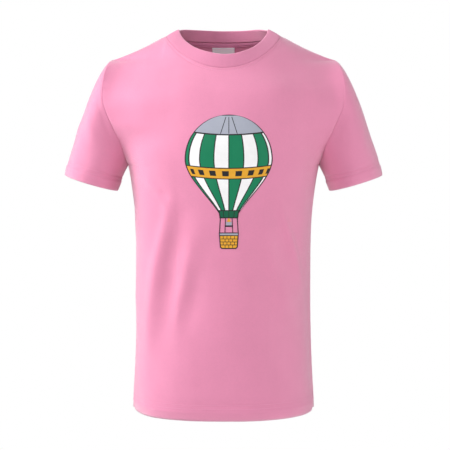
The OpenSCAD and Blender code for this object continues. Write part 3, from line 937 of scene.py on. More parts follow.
class Nodes:
    """A hand for wiring one material's nodes."""

    def __init__(self, name: str) -> None:
        """Starts an empty material of that name."""
        self.material = bpy.data.materials.new(name)
        self.material.use_nodes = True
        self.tree = self.material.node_tree
        self.tree.nodes.clear()
        self.out = self.add("ShaderNodeOutputMaterial")

    def add(self, kind: str, **settings: object) -> bpy.types.Node:
        """Returns a new node with its settings made."""
        node = self.tree.nodes.new(kind)
        for key, value in settings.items():
            setattr(node, key, value)
        return node

    def put(self, socket: Socket, value: object) -> None:
        """Links a socket, or sets its value."""
        if isinstance(value, bpy.types.NodeSocket):
            self.tree.links.new(value, socket)
        elif isinstance(value, tuple) and len(value) == 3 and socket.type == "RGBA":
            socket.default_value = (*value, 1.0)
        else:
            socket.default_value = value

    def math(self, operation: str, *values: object, clamp: bool = False) -> Socket:
        """Returns the result of one sum."""
        node = self.add("ShaderNodeMath", operation=operation, use_clamp=clamp)
        for n, value in enumerate(values):
            self.put(node.inputs[n], value)
        return node.outputs[0]

    def scaled(self, value: Socket, by: float, base: float) -> Socket:
        """Returns a value times one number plus another."""
        return self.math("ADD", self.math("MULTIPLY", value, by), base)

    def wave(self, run: Socket, length: float) -> Socket:
        """Returns a sine wave over a running length."""
        return self.math("SINE", self.math("MULTIPLY", run, 2 * math.pi / length))

    def blend(self, *parts: tuple[Socket, float]) -> Socket:
        """Returns the sum of values, each times its weight, held to 0..1."""
        total = self.math("MULTIPLY", *parts[0])
        for n, part in enumerate(parts[1:], 2):
            total = self.math("ADD", total, self.math("MULTIPLY", *part), clamp=n == len(parts))
        return total

    def grain(self) -> tuple[Socket, Socket]:
        """Returns the lengths across and along the cloth's grain, in millimetres."""
        split = self.add("ShaderNodeSeparateXYZ")
        self.put(split.inputs[0], self.add("ShaderNodeUVMap", uv_map=GRAIN).outputs[0])
        return split.outputs[0], split.outputs[1]

    def wear_and_rib_shade(self) -> Socket:
        """Returns the amount of rubbing, or the share of a valley between ribs, which the rib's finish
        darkens as painted shade.
        """
        return self.add("ShaderNodeAttribute", attribute_name=WEAR_AND_RIB_SHADE).outputs["Fac"]

    def noise(self, scale: float, detail: float = 2.0) -> Socket:
        """Returns noise in 0..1 over the object's own coordinates in metres."""
        node = self.add("ShaderNodeTexNoise")
        node.inputs["Scale"].default_value = scale
        node.inputs["Detail"].default_value = detail
        self.put(node.inputs["Vector"], self.add("ShaderNodeTexCoord").outputs["Object"])
        return node.outputs[0]

    def ramp(self, value: Socket, low: tuple[float, ...], high: tuple[float, ...]) -> Socket:
        """Returns a colour between two, by a value in 0..1."""
        node = self.add("ShaderNodeMix", data_type="RGBA")
        self.put(node.inputs["Factor"], value)
        self.put(node.inputs[6], low)
        self.put(node.inputs[7], high)
        return node.outputs[2]

    def shade(self, tone: Socket, colour: Colour, dark: float, light: float) -> Socket:
        """Returns a colour between its darker and its lighter shade, by a value in 0..1."""
        return self.ramp(tone, toned(colour, dark), toned(colour, light))

    def bump(self, height: Socket, distance: float, strength: float, under: Socket | None = None) -> Socket:
        """Returns a normal for relief of that height, in metres."""
        node = self.add("ShaderNodeBump")
        node.inputs["Strength"].default_value = strength
        node.inputs["Distance"].default_value = distance
        self.put(node.inputs["Height"], height)
        if under is not None:
            self.put(node.inputs["Normal"], under)
        return node.outputs[0]

    def knit(self) -> Socket:
        """Returns the height, in 0..1, of a plain knit face: columns of small V loops."""
        across, along = self.grain()
        column = self.math("FRACT", self.math("DIVIDE", across, WALE))
        leg = self.math("ABSOLUTE", self.math("SUBTRACT", self.math("MULTIPLY", column, 2.0), 1.0))
        course = self.math("DIVIDE", along, COURSE)
        slant = self.math("SUBTRACT", course, self.math("MULTIPLY", leg, 0.55))
        sides = self.math("SINE", self.math("MULTIPLY", leg, math.pi))
        level = self.math("MULTIPLY", sides, self.scaled(self.wave(slant, 1.0), 0.32, 0.68))
        return self.math("MAXIMUM", level, 0.0)

    def finish(
        self, colour: object, roughness: object, normal: Socket | None, **uniform: object
    ) -> bpy.types.Material:
        """Ends the material with its shader.

        Args:
            colour: base colour, a socket or linear RGB.
            roughness: a socket or a number.
            normal: from bump, or None.
            uniform: other inputs of the shader, set on their own sockets.

        Returns:
            The material.
        """
        shader = self.add("ShaderNodeBsdfPrincipled")
        self.put(shader.inputs["Base Color"], colour)
        self.put(shader.inputs["Roughness"], roughness)
        if normal is not None:
            self.put(shader.inputs["Normal"], normal)
        for key, value in uniform.items():
            self.put(shader.inputs[key.replace("_", " ")], value)
        self.put(self.out.inputs["Surface"], shader.outputs[0])
        return self.material


def linear(r: int, g: int, b: int) -> Colour:
    """Returns a display colour, given in 0..255, as linear light."""
    shares = (r / 255, g / 255, b / 255)
    return tuple(c / 12.92 if c <= 0.04045 else ((c + 0.055) / 1.055) ** 2.4 for c in shares)


def toned(colour: Colour, by: float) -> Colour:
    """Returns a colour made lighter or darker."""
    return tuple(min(1.0, c * by) for c in colour)


def whitened(colour: Colour, white: float) -> Colour:
    """Returns a colour with some white in it."""
    return tuple(c + (1 - c) * white for c in colour)


@dataclass(frozen=True)
class JerseyKnit:
    """Fine single jersey of combed cotton, dyed in the piece."""

    name: str = "jersey_knit"
    dye: Colour = linear(229, 140, 175)
    shades: tuple[float, float] = (0.86, 1.08)
    relief: float = 0.00022

    def make(self) -> bpy.types.Material:
        """Returns the material."""
        n = Nodes(self.name)
        loops = n.knit()
        patches, yarn = n.noise(28, 3), n.noise(420)
        # darker where the knit is low, between the loops: painted shade; the patches and the yarn are the
        # dye's own random tone
        dyed = n.shade(n.blend((patches, 0.35), (yarn, 0.35), (loops, 0.3)), self.dye, *self.shades)
        colour = n.ramp(n.math("MULTIPLY", n.wear_and_rib_shade(), 0.5), dyed, whitened(self.dye, 0.35))
        normal = n.bump(loops, self.relief, 0.5, n.bump(n.noise(900), 0.00012, 0.35))
        rough = n.scaled(yarn, 0.14, 0.55)
        return n.finish(colour, rough, normal, Specular_IOR_Level=0.3, **NAP)


@dataclass(frozen=True)
class RibKnit:
    """The neckband's rib: the ribs are modelled, and the loops on them are relief; their valleys are
    painted darker as shade.
    """

    name: str = "rib_knit"
    dye: Colour = linear(231, 144, 179)
    shades: tuple[float, float] = (0.88, 1.08)
    # painted shade: the dye's share in the valleys between ribs
    painted_valley_shade: float = 0.62
    loop: float = 0.8

    def make(self) -> bpy.types.Material:
        """Returns the material."""
        n = Nodes(self.name)
        loops, yarn = n.wave(n.grain()[1], self.loop), n.noise(500)
        # darker between the loops, and darker still in the valleys between ribs: painted shade; the yarn
        # noise is the dye's own random tone
        dyed = n.shade(n.blend((yarn, 0.6), (loops, 0.12)), self.dye, *self.shades)
        colour = n.ramp(n.math("MULTIPLY", n.wear_and_rib_shade(), 0.4), dyed, toned(self.dye, self.painted_valley_shade))
        normal = n.bump(loops, 0.00015, 0.35, n.bump(n.noise(1000), 0.0001, 0.3))
        rough = n.scaled(yarn, 0.14, 0.78)
        return n.finish(colour, rough, normal, Specular_IOR_Level=0.2, **NAP)


@dataclass(frozen=True)
class TwillTape:
    """Narrow tape with a diagonal weave."""

    name: str = "twill_tape"
    dye: Colour = linear(224, 142, 178)
    shades: tuple[float, float] = (0.82, 1.08)
    twill: float = 1.1

    def make(self) -> bpy.types.Material:
        """Returns the material."""
        n = Nodes(self.name)
        height = n.scaled(n.wave(n.math("ADD", *n.grain()), self.twill), 0.5, 0.5)
        # darker in the twill's grooves: painted shade; the noise is the dye's own random tone
        colour = n.shade(n.blend((height, 0.5), (n.noise(600), 0.5)), self.dye, *self.shades)
        rough = n.scaled(n.noise(300), 0.15, 0.75)
        return n.finish(colour, rough, n.bump(height, 0.00018, 0.5), Specular_IOR_Level=0.2)


@dataclass(frozen=True)
class WovenLabel:
    """Blank satin-woven label."""

    name: str = "woven_label"
    dye: Colour = linear(214, 205, 211)
    shades: tuple[float, float] = (0.9, 1.06)
    warp: float = 0.35
    weft: float = 0.5

    def make(self) -> bpy.types.Material:
        """Returns the material."""
        n = Nodes(self.name)
        across, along = n.grain()
        weave = n.math("MULTIPLY", n.wave(across, self.warp), n.wave(along, self.weft))
        height = n.scaled(weave, 0.4, 0.5)
        # darker between the woven threads: painted shade; the noise is the yarn's own random tone
        colour = n.shade(n.blend((height, 0.4), (n.noise(200, 3), 0.6)), self.dye, *self.shades)
        rough = n.scaled(n.noise(250), 0.15, 0.45)
        return n.finish(colour, rough, n.bump(height, 0.0001, 0.4), Specular_IOR_Level=0.35)


@dataclass(frozen=True)
class SewingThread:
    """Two-ply polyester thread."""

    name: str = "sewing_thread"
    dye: Colour = linear(238, 164, 196)
    shades: tuple[float, float] = (0.84, 1.08)
    twist: float = 0.6

    def make(self) -> bpy.types.Material:
        """Returns the material."""
        n = Nodes(self.name)
        across, along = n.grain()
        turns = n.math("MULTIPLY", along, 2 * math.pi / self.twist)
        ply = n.math("SINE", n.math("ADD", turns, n.math("MULTIPLY", across, 9.0)))
        height = n.scaled(ply, 0.5, 0.5)
        rough = n.scaled(n.noise(800), 0.2, 0.45)
        # darker in the grooves between the plies: painted shade
        colour = n.shade(height, self.dye, *self.shades)
        return n.finish(colour, rough, n.bump(height, 0.00008, 0.5), Specular_IOR_Level=0.35)


class Ink(Enum):
    """The print's colours, each with its material number."""

    GREEN = (0, (0, 124, 84))
    WHITE = (1, (244, 243, 244))
    BLACK = (2, (32, 31, 34))
    AMBER = (3, (226, 164, 44))
    GREY = (4, (166, 170, 184))
    DARK_GREEN = (5, (0, 94, 64))

    @property
    def number(self) -> int:
        """Material number."""
        return self.value[0]

    @property
    def colour(self) -> Colour:
        """Linear colour."""
        return linear(*self.value[1])


@dataclass(frozen=True)
class PrintInk:
    """Thin plastic film pressed on the knit, which shows through it."""

    ink: Ink
    shades: tuple[float, float] = (0.9, 1.06)

    def make(self) -> bpy.types.Material:
        """Returns the material."""
        n = Nodes(f"print_{self.ink.name.lower()}")
        loops, mottle = n.knit(), n.noise(160, 3)
        # darker where the knit under the film is low, between the loops: painted shade; the mottle is the
        # ink's own random tone
        colour = n.shade(n.blend((mottle, 0.7), (loops, 0.3)), self.ink.colour, *self.shades)
        rough = n.scaled(mottle, 0.18, 0.42)
        return n.finish(colour, rough, n.bump(loops, 0.00008, 0.35), Specular_IOR_Level=0.35)


@dataclass(frozen=True)
class Wardrobe:
    """Every finish of the shirt, made once."""

    jersey: bpy.types.Material
    rib: bpy.types.Material
    tape: bpy.types.Material
    label: bpy.types.Material
    thread: bpy.types.Material
    inks: tuple[bpy.types.Material, ...]

    @classmethod
    def fill(cls) -> Wardrobe:
        """Returns the finishes."""
        return cls(
            JerseyKnit().make(),
            RibKnit().make(),
            TwillTape().make(),
            WovenLabel().make(),
            SewingThread().make(),
            tuple(PrintInk(ink).make() for ink in Ink),
        )


def wear_in(piece: bpy.types.Object, slot: str, *nodes: str) -> None:
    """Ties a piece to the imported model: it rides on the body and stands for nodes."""
    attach(piece, BODY)
    if nodes:
        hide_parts(*nodes)
    log.info("%s: %d faces", piece.name, len(piece.data.polygons))


# ---------------------------------------------------------------- body


FRONT_FOLDS = (
    Ridge(((-68, -208), (-80, -266), (-91, -320), (-100, -388), (-104, -440)), 9, 5.2, 4.0, 14),
    Ridge(((-42, -268), (-50, -318), (-60, -362), (-70, -410)), 9, 2.2, 1.7, 12),
    Ridge(((74, -222), (86, -264), (100, -306), (111, -350)), 5, 3.0, -2.6, 14),
    Ridge(((56, -230), (66, -290), (84, -350), (92, -400)), 12, 1.6, -1.4, 14),
    Ridge(((-104, -196), (-94, -206), (-84, -212)), 4, 1.0, 1.0, 5),
    Ridge(((-92, -212), (-84, -222), (-76, -230)), 4, 0.9, 0.9, 5),
    Ridge(((-112, -180), (-108, -260), (-112, -340), (-116, -430)), 18, 2.2, 0.0, 12),
    Ridge(((0, -320), (10, -400), (14, -500)), 34, 2.4, 0.0, 20),
    Ridge(((88, -280), (94, -360), (96, -450), (96, -515)), 48, -5.0, 0.0, 16),
)

BACK_FOLDS = (
    Ridge(((-60, -150), (-70, -230), (-66, -320), (-72, -420)), 16, 2.6, 2.2, 18),
    Ridge(((58, -140), (74, -220), (82, -300), (80, -390)), 14, 2.6, -2.4, 18),
    Ridge(((4, -200), (-6, -290), (6, -390), (0, -490)), 24, 2.4, 2.0, 24),
    Ridge(((-100, -215), (-84, -236), (-66, -250)), 6, 1.4, 1.2, 8),
    Ridge(((100, -210), (86, -230), (70, -246)), 6, 1.4, 1.2, 8),
)


@dataclass
class BodyPanel:
    """One half of the body with its folds, seams, hem and stitches."""

    form: ShirtForm
    side: Side
    folds: tuple[Ridge, ...]
    ripple: Ripple
    seam: Seaming = Seaming()
    cols: int = 160
    rows_body: int = 104
    rows_armhole: int = 48
    hem_rows: tuple[float, float] = (17.0, 22.5)
    neck_row: float = 4.0
    shoulder_row: float = 2.2
    fold_fade: tuple[float, float] = (22, 30)  # lengths from the sides and from the top
    ripple_fade: tuple[float, float] = (18, 45)
    hem_wave: tuple[float, float] = (10, 34)  # fade from the sides, reach up from the hem
    neck_reach: float = 0.93  # u where the stitch row beside the neck ends
    shoulder_reach: tuple[float, float] = (1.04, 1.93)
    row_points: tuple[int, int, int] = (420, 300, 160)  # at the hem, the neck and a shoulder
    cloth: Cloth = field(init=False)
    grain: Array = field(init=False)
    wear_and_rib_shade: Array = field(init=False)
    from_side: Array = field(init=False)
    from_top: Array = field(init=False)
    from_hem: Array = field(init=False)
    u: Array = field(init=False)
    v: Array = field(init=False)

    def __post_init__(self) -> None:
        """Lays the cloth over the form and gives it its relief."""
        self.u = np.linspace(-2, 2, self.cols + 1)
        low = np.linspace(0, 1, self.rows_body + 1)
        self.v = np.concatenate([low, 1 + np.arange(1, self.rows_armhole + 1) / self.rows_armhole])
        uu, vv = np.meshgrid(self.u, self.v)
        points = self.form.place(uu, vv, self.side)
        self.cloth = Cloth(points, 1 if self.side is Side.FRONT else -1)
        self.measure(points)
        self.cloth.raise_by(self.relief(points, uu, vv))

    def measure(self, points: Array) -> None:
        """Measures the smooth cloth from its edges, for the knit, the seams and the stitches."""
        across = lengths_along(points, 1)
        up = lengths_along(points, 0)
        self.from_side = np.minimum(across, across[:, -1:] - across)
        self.from_top = up[-1:] - up
        self.from_hem = up
        along = across - across[:, self.cols // 2][:, None]
        self.grain = np.stack([along, np.broadcast_to(up[:, self.cols // 2][:, None], up.shape)], axis=-1)
        self.wear_and_rib_shade = np.clip(0.5 * np.exp(-self.from_hem / 1.6), 0, 1)

    def relief(self, points: Array, uu: Array, vv: Array) -> Array:
        """Adds up what lifts the cloth off its smooth form.

        Args:
            points: the smooth grid.
            uu: its places across.
            vv: its places up.

        Returns:
            The height of each point, in millimetres.
        """
        x, z, along = points[..., 0], points[..., 2], self.grain[..., 0]
        seam, seed, sides = self.seam, self.ripple.seed, self.from_side
        armhole, neck = vv >= 1, np.abs(uu) <= 1
        inner = ease(sides / self.fold_fade[0]) * ease(self.from_top / self.fold_fade[1])
        height = inner * sum(fold.height(x, z) for fold in self.folds)
        inner = ease(sides / self.ripple_fade[0]) * ease(self.from_top / self.ripple_fade[1])
        height += inner * self.ripple.height(along, z)
        edge = ease(sides / self.hem_wave[0]) * np.exp(-self.from_hem / self.hem_wave[1])
        height += edge * Ripple(seed + 7, 2.0, 50, 130, 7).height(along, 0 * z)
        side_run = np.where(armhole, self.from_hem + 40, self.from_hem)
        height += np.where(armhole, 1.0, 0.75) * seam.beside(sides, side_run, seed + 1)
        top = seam.beside(self.from_top, along, seed + 2)
        height += np.where(neck, 0.8, 1.0) * top * ease(sides / 4)
        row = seam.sewn(self.from_top, (self.neck_row,))
        height += np.where(neck, 1, 0) * row * ease((1 - np.abs(uu)) / 0.1)
        height += seam.sewn(self.from_hem, self.hem_rows) * ease(sides / 3)
        height += seam.turned(self.from_hem, self.hem_rows[0]) * ease(sides / 3)
        return height

    def row_at(self, from_hem: float) -> float:
        """Returns the row number, with its fraction, at a distance up from the hem."""
        middle = self.from_hem[:, self.cols // 2]
        return float(np.interp(from_hem, middle, np.arange(len(self.v))))

    def rows_below_top(self, down: float, first: float, last: float, count: int) -> tuple[Array, Array]:
        """Finds a line that runs beside the top edge.

        Args:
            down: distance below the edge.
            first: u where it starts.
            last: u where it ends.
            count: how many points it has.

        Returns:
            Row numbers and column numbers.
        """
        col = (np.linspace(first, last, count) + 2) / 4 * self.cols
        rows, cols = np.arange(len(self.v)), np.arange(self.cols + 1)
        by_col = [np.interp(-down, -self.from_top[:, c], rows) for c in cols]
        return np.interp(col, cols, by_col), col

    def build(self, wardrobe: Wardrobe) -> bpy.types.Object:
        """Makes the panel.

        Args:
            wardrobe: the finishes.

        Returns:
            The panel's object.
        """
        mesh = shell(self.cloth, self.form.jersey_t, self.grain, self.wear_and_rib_shade)
        piece = mesh.build(f"{self.side.value}_cloth", [wardrobe.jersey])
        wear_in(piece, "jersey", f"{self.side.value}_panel")
        return piece

    def build_stitches(self, wardrobe: Wardrobe) -> bpy.types.Object:
        """Makes the panel's stitch rows.

        Args:
            wardrobe: the finishes.

        Returns:
            One object with the rows at the hem, the neckline and the shoulder seams.
        """
        mesh, reach = Mesh(), self.neck_reach
        at_hem, at_neck, at_shoulder = self.row_points
        cols = np.linspace(0, self.cols, at_hem)
        for up in self.hem_rows:
            self.cloth.stitch(mesh, np.full_like(cols, self.row_at(up)), cols)
        self.cloth.stitch(mesh, *self.rows_below_top(self.neck_row, -reach, reach, at_neck))
        for way in (-1, 1):
            first, last = (way * end for end in self.shoulder_reach)
            line = self.rows_below_top(self.shoulder_row, first, last, at_shoulder)
            self.cloth.stitch(mesh, *line)
        piece = mesh.build(f"{self.side.value}_stitches", [wardrobe.thread])
        wear_in(piece, "jersey")
        return piece


def cover_edge(cloth: Cloth, thickness: float, rows: tuple[int, int, int], width: float) -> Mesh:
    """Sews looper threads over the raw edge of a turned-up layer, on its inner face.

    Args:
        cloth: the cloth that the layer lies inside.
        thickness: of the cloth and of the layer.
        rows: the row that the threads run along, one at the raw edge and one below it.
        width: of the zigzag.

    Returns:
        A mesh with the threads in it.
    """
    inner = cloth.lift(-(2 * thickness + LAYER_GAP + LOOP_REST))
    line, edge, below = rows
    up = unit(inner[edge] - inner[below])
    threads = Mesh()
    Zigzag(width).sew(threads, closed(inner[line]), closed(up), closed(-cloth.normals[line]))
    return threads


@dataclass
class BottomHem:
    """The turned-up layer inside the bottom edge, with the looper threads over its raw edge."""

    form: ShirtForm
    front: BodyPanel
    back: BodyPanel
    rows: int = 14

    def layer(self, height: float) -> Array:
        """Finds one ring of points round both panels.

        Args:
            height: its distance up from the edge.

        Returns:
            The points, (n, 3).
        """
        cols = np.arange(self.front.cols + 1, dtype=float)
        row = np.full_like(cols, self.front.row_at(height))
        front, _ = self.front.cloth.sample(row, cols)
        back, _ = self.back.cloth.sample(row, cols)
        return np.concatenate([front, back[::-1][1:-1]])

    def build(self, wardrobe: Wardrobe) -> bpy.types.Object:
        """Makes the hem and its threads.

        Args:
            wardrobe: the finishes.

        Returns:
            The hem's object; its threads are their own.
        """
        heights = np.linspace(0.6, self.form.hem_h, self.rows)
        cloth = Cloth(np.stack([self.layer(h) for h in heights]), 1, True)
        run, t = lengths_along(cloth.points, 1), self.form.jersey_t
        grain = np.stack([run, np.broadcast_to(heights[:, None], run.shape)], axis=-1)
        mesh = shell(cloth, t, grain, start=t + LAYER_GAP)
        piece = mesh.build("bottom_hem_turn", [wardrobe.jersey])
        looped = cover_edge(cloth, t, (-2, -1, -4), 6.0).build("bottom_hem_loops", [wardrobe.thread])
        wear_in(piece, "jersey", "bottom_hem")
        wear_in(looped, "jersey")
        return piece


# ---------------------------------------------------------------- sleeves


@dataclass
class Sleeve:
    """A set-in sleeve with its cuff hem, armhole seam and stitches."""

    form: ShirtForm
    hand: str
    folds: tuple[Ridge, ...]
    ripple: Ripple
    seam: Seaming = Seaming(puff=0.3, pucker=0.2, tuck=0.9)
    turns: int = 112
    rows: int = 52
    cuff_rows: int = 12
    hem_rows: tuple[float, float] = (15.5, 20.5)
    cloth: Cloth = field(init=False)
    grain: Array = field(init=False)
    wear_and_rib_shade: Array = field(init=False)
    from_cuff: Array = field(init=False)

    @property
    def way(self) -> int:
        """1 for the wearer's left and -1 for the right."""
        return 1 if self.hand == "left" else -1

    def __post_init__(self) -> None:
        """Lays the cloth over the form and gives it its relief."""
        turn = 2 * np.pi * np.arange(self.turns) / self.turns
        cuff = 1 + np.arange(1, self.cuff_rows + 1) / self.cuff_rows
        tt, dd = np.meshgrid(turn, np.concatenate([np.linspace(0, 1, self.rows + 1), cuff]))
        points = self.form.sleeve_point(tt, dd) * np.array([self.way, 1, 1])
        self.cloth = Cloth(points, self.way, True)
        run, around = lengths_along(points, 0), lengths_along(points, 1)
        self.from_cuff = run[-1:] - run
        self.grain = np.stack([around, self.from_cuff], axis=-1)
        self.cloth.raise_by(self.relief(points, run, around, np.sin(tt)))
        self.wear_and_rib_shade = np.clip(0.5 * np.exp(-self.from_cuff / 1.6), 0, 1)

    def relief(self, points: Array, run: Array, around: Array, front: Array) -> Array:
        """Adds up what lifts the cloth off its smooth form.

        Args:
            points: the smooth grid.
            run: distance of each point from the armhole seam.
            around: its length round the sleeve.
            front: 1 in front, -1 behind.

        Returns:
            The height of each point, in millimetres.
        """
        x, z = np.abs(points[..., 0]), points[..., 2]
        height = ease(run / 16) * ease(front + 0.6) * sum(fold.height(x, z) for fold in self.folds)
        height += ease(run / 20) * (0.25 + 0.75 * np.abs(front)) * self.ripple.height(points[..., 1] + x, z)
        height += self.seam.beside(run, around, self.ripple.seed + 1)
        height += self.seam.sewn(self.from_cuff, self.hem_rows)
        height += self.seam.turned(self.from_cuff, self.hem_rows[0])
        return height

    def ring(self, from_cuff: float) -> tuple[Array, Array]:
        """Finds a ring round the sleeve.

        Args:
            from_cuff: its distance from the cuff's edge.

        Returns:
            Row numbers and column numbers.
        """
        cols = np.linspace(0, self.turns, 4 * self.turns + 1)
        rows = np.arange(self.cloth.points.shape[0])
        run = -self.from_cuff
        by_col = [np.interp(-from_cuff, run[:, c % self.turns], rows) for c in range(self.turns + 1)]
        return np.interp(cols, np.arange(self.turns + 1), by_col), cols

    def build(self, wardrobe: Wardrobe) -> bpy.types.Object:
        """Makes the sleeve, its turned-up hem and its stitches.

        Args:
            wardrobe: the finishes.

        Returns:
            The sleeve's object.
        """
        mesh = shell(self.cloth, self.form.jersey_t, self.grain, self.wear_and_rib_shade)
        piece = mesh.build(f"{self.hand}_sleeve_cloth", [wardrobe.jersey])
        wear_in(piece, "jersey", f"{self.hand}_sleeve")
        stitches = self.build_stitches(wardrobe)
        min(self.cloth.area(), 0.055)
        self.build_hem(wardrobe)
        return piece

    def build_stitches(self, wardrobe: Wardrobe) -> bpy.types.Object:
        """Makes the stitch rows at the cuff."""
        mesh = Mesh()
        for up in self.hem_rows:
            self.cloth.stitch(mesh, *self.ring(up))
        piece = mesh.build(f"{self.hand}_sleeve_stitches", [wardrobe.thread])
        wear_in(piece, "jersey")
        return piece

    def build_hem(self, wardrobe: Wardrobe) -> bpy.types.Object:
        """Makes the turned-up layer inside the cuff and its threads.

        Args:
            wardrobe: the finishes.

        Returns:
            The layer's object.
        """
        t, part = self.form.jersey_t, slice(-self.cuff_rows - 1, None)
        cloth = Cloth(self.cloth.points[part], self.way, True)
        cloth.normals = self.cloth.normals[part]
        mesh = shell(cloth, t, self.grain[part], start=t + LAYER_GAP)
        piece = mesh.build(f"{self.hand}_sleeve_turn", [wardrobe.jersey])
        threads = cover_edge(cloth, t, (1, 0, 3), 5.5)
        looped = threads.build(f"{self.hand}_sleeve_loops", [wardrobe.thread])
        wear_in(piece, "jersey", f"{self.hand}_sleeve_hem")
        wear_in(looped, "jersey")
        return piece


# ---------------------------------------------------------------- neck


@dataclass
class NeckRib:
    """The rib neckband, folded double, with its ribs modelled."""

    form: ShirtForm
    width: float = 20.0
    back_width: float = 16.5
    thickness: float = 1.8
    lean_side: float = 62.0
    lean_front: float = 15.0
    lean_back: float = 13.0
    rib_pitch: float = 1.55
    rib_rise: float = 0.3
    per_rib: int = 5
    face_steps: int = 15
    turn_step: float = 0.06

    def frame(self, turn: Array) -> tuple[Array, Array, Array]:
        """Works out how the band stands on the neckline.

        Args:
            turn: places round the neckline, 0..4.

        Returns:
            Neckline points, the band's upward direction and its outward one.
        """
        here = self.form.neckline(turn)
        step = self.turn_step
        along = self.form.neckline(turn + step) - self.form.neckline(turn - step)
        inward = unit(np.stack([-along[..., 1], along[..., 0], 0 * turn], axis=-1))
        middle = np.where(np.mod(turn, 4) < 2, self.lean_front, self.lean_back)
        lean = np.radians(mix(middle, self.lean_side, np.cos(np.pi / 2 * turn) ** 2))[..., None]
        high, flat, z = np.cos(lean), np.sin(lean), np.array([0.0, 0.0, 1.0])
        return here, flat * inward + high * z, -high * inward + flat * z

    def outline(self) -> Array:
        """Draws the band's cross-section, from the seam over the fold.

        Returns:
            Rows of (up, out, share of the ribs' relief).
        """
        r = self.thickness / 2
        face = np.linspace(0, self.width - r, self.face_steps)
        bulge = 0.5 * np.sin(np.pi * np.clip(face / self.width, 0, 1)) ** 0.7
        outer = np.stack([face, bulge - 0.5 * np.exp(-face / 1.2), ease(face / 1.6)], axis=-1)
        bend = np.radians(np.linspace(70, -70, 7))
        over = [self.width - r + r * np.cos(bend), -r + r * np.sin(bend), np.full_like(bend, 0.7)]
        face = face[::-1]
        inner = np.stack([face, np.full_like(face, -self.thickness), ease(face / 1.6)], axis=-1)
        return np.concatenate([outer, np.stack(over, axis=-1), inner])

    def build(self, wardrobe: Wardrobe) -> bpy.types.Object:
        """Makes the band.

        Args:
            wardrobe: the finishes.

        Returns:
            The band's object.
        """
        outline = self.outline()
        dense = np.linspace(0, 4, 2001)
        line, up, out = self.frame(dense)
        middle = line + 0.5 * self.width * up
        total = path_length(middle)
        count = int(total / self.rib_pitch) * self.per_rib
        around = np.arange(count) / count * total
        turn = np.interp(around, walked(middle), dense)
        line, up, out = self.frame(turn)
        wave = 0.5 + 0.5 * np.cos(2 * np.pi * np.arange(count) / self.per_rib)
        sign = np.where(np.arange(len(outline)) < len(outline) - self.face_steps, 1.0, -1.0)
        rise = self.rib_rise * (wave[:, None] - 0.5) * outline[:, 2] * sign
        slack = Ripple(61, 0.5, 25, 70, 7).height(around, np.zeros(count))[:, None]
        to_back = np.maximum(0, -np.sin(np.pi / 2 * turn)) ** 2
        drawn_in = mix(1.0, self.back_width / self.width, to_back)[:, None]
        high = (outline[:, 0] + slack * 0.6 * (outline[:, 0] / self.width)) * drawn_in
        depth = outline[:, 1] + rise + slack * (outline[:, 0] / self.width)
        points = line[:, None] + high[..., None] * up[:, None] + depth[..., None] * out[:, None]
        n, m = points.shape[:2]
        face_run = walked(outline[:, :2])
        grain = np.stack(np.broadcast_arrays(around[:, None], face_run[None]), axis=-1)
        mesh = Mesh()
        faces = grid_faces(n + 1, m, wrap=True) % (n * m)
        # the share of each valley between ribs goes to the mesh, for the painted shade that the rib's
        # finish puts in its valleys
        mesh.add(points, faces, grain, np.broadcast_to((1 - wave)[:, None], (n, m)))
        piece = mesh.build("neck_band", [wardrobe.rib])
        wear_in(piece, "rib", "neck_rib")
        return piece


@dataclass
class Tape:
    """What the tapes share: they lie inside the cloth, beside its top edge.

    Attributes:
        form: the shirt's shape.
        thickness: of the tape.
        lay_gap: how far it lies from the cloth.
    """

    form: ShirtForm
    thickness: float = field(default=0.5, kw_only=True)
    lay_gap: float = field(default=0.25, kw_only=True)

    def lay(
        self, lines: Sequence[tuple[BodyPanel, float]], ends: tuple[float, float], count: int,
        extra: float = 0.0, outward: int = 1,
    ) -> Cloth:
        """Lays the tape's lines under the cloth.

        Args:
            lines: each line's panel and its distance below that panel's top edge.
            ends: u where the lines start and end.
            count: points in a line.
            extra: how much further in they lie.
            outward: the cloth's own sense.

        Returns:
            The tape's face, with the normals of the cloth above it.
        """
        deep = -(self.form.jersey_t + self.lay_gap + extra)
        laid = [
            panel.cloth.sample(*panel.rows_below_top(down, *ends, count), deep)
            for panel, down in lines
        ]
        cloth = Cloth(np.stack([points for points, _ in laid]), outward)
        cloth.normals = np.stack([normals for _, normals in laid])
        return cloth

    def band(self, cloth: Cloth, name: str, wardrobe: Wardrobe) -> bpy.types.Object:
        """Returns the tape's object, made from its face."""
        grain = np.stack([lengths_along(cloth.points, 0), lengths_along(cloth.points, 1)], axis=-1)
        return shell(cloth, self.thickness, grain).build(name, [wardrobe.tape])


@dataclass
class NeckTape(Tape):
    """The tape that covers the back neck seam inside."""

    back: BodyPanel
    width: float = 8.0
    reach: float = 0.86

    def face(self, extra: float) -> Cloth:
        """Returns the tape's face, or a face further in."""
        lines = [(self.back, down) for down in np.linspace(self.width, 0.7, 9)]
        return self.lay(lines, (-self.reach, self.reach), 120, extra)

    def build(self, wardrobe: Wardrobe) -> bpy.types.Object:
        """Makes the tape with its two rows of stitches.

        Args:
            wardrobe: the finishes.

        Returns:
            The tape's object.
        """
        piece = self.band(self.face(0.0), "neck_tape_band", wardrobe)
        threads, inner = Mesh(), self.face(self.thickness)
        for row in (1, -2):
            Needle().sew(threads, inner.points[row], -inner.normals[row])
        sewn = threads.build("neck_tape_stitches", [wardrobe.thread])
        wear_in(piece, "tape", "neck_tape")
        wear_in(sewn, "tape")
        return piece


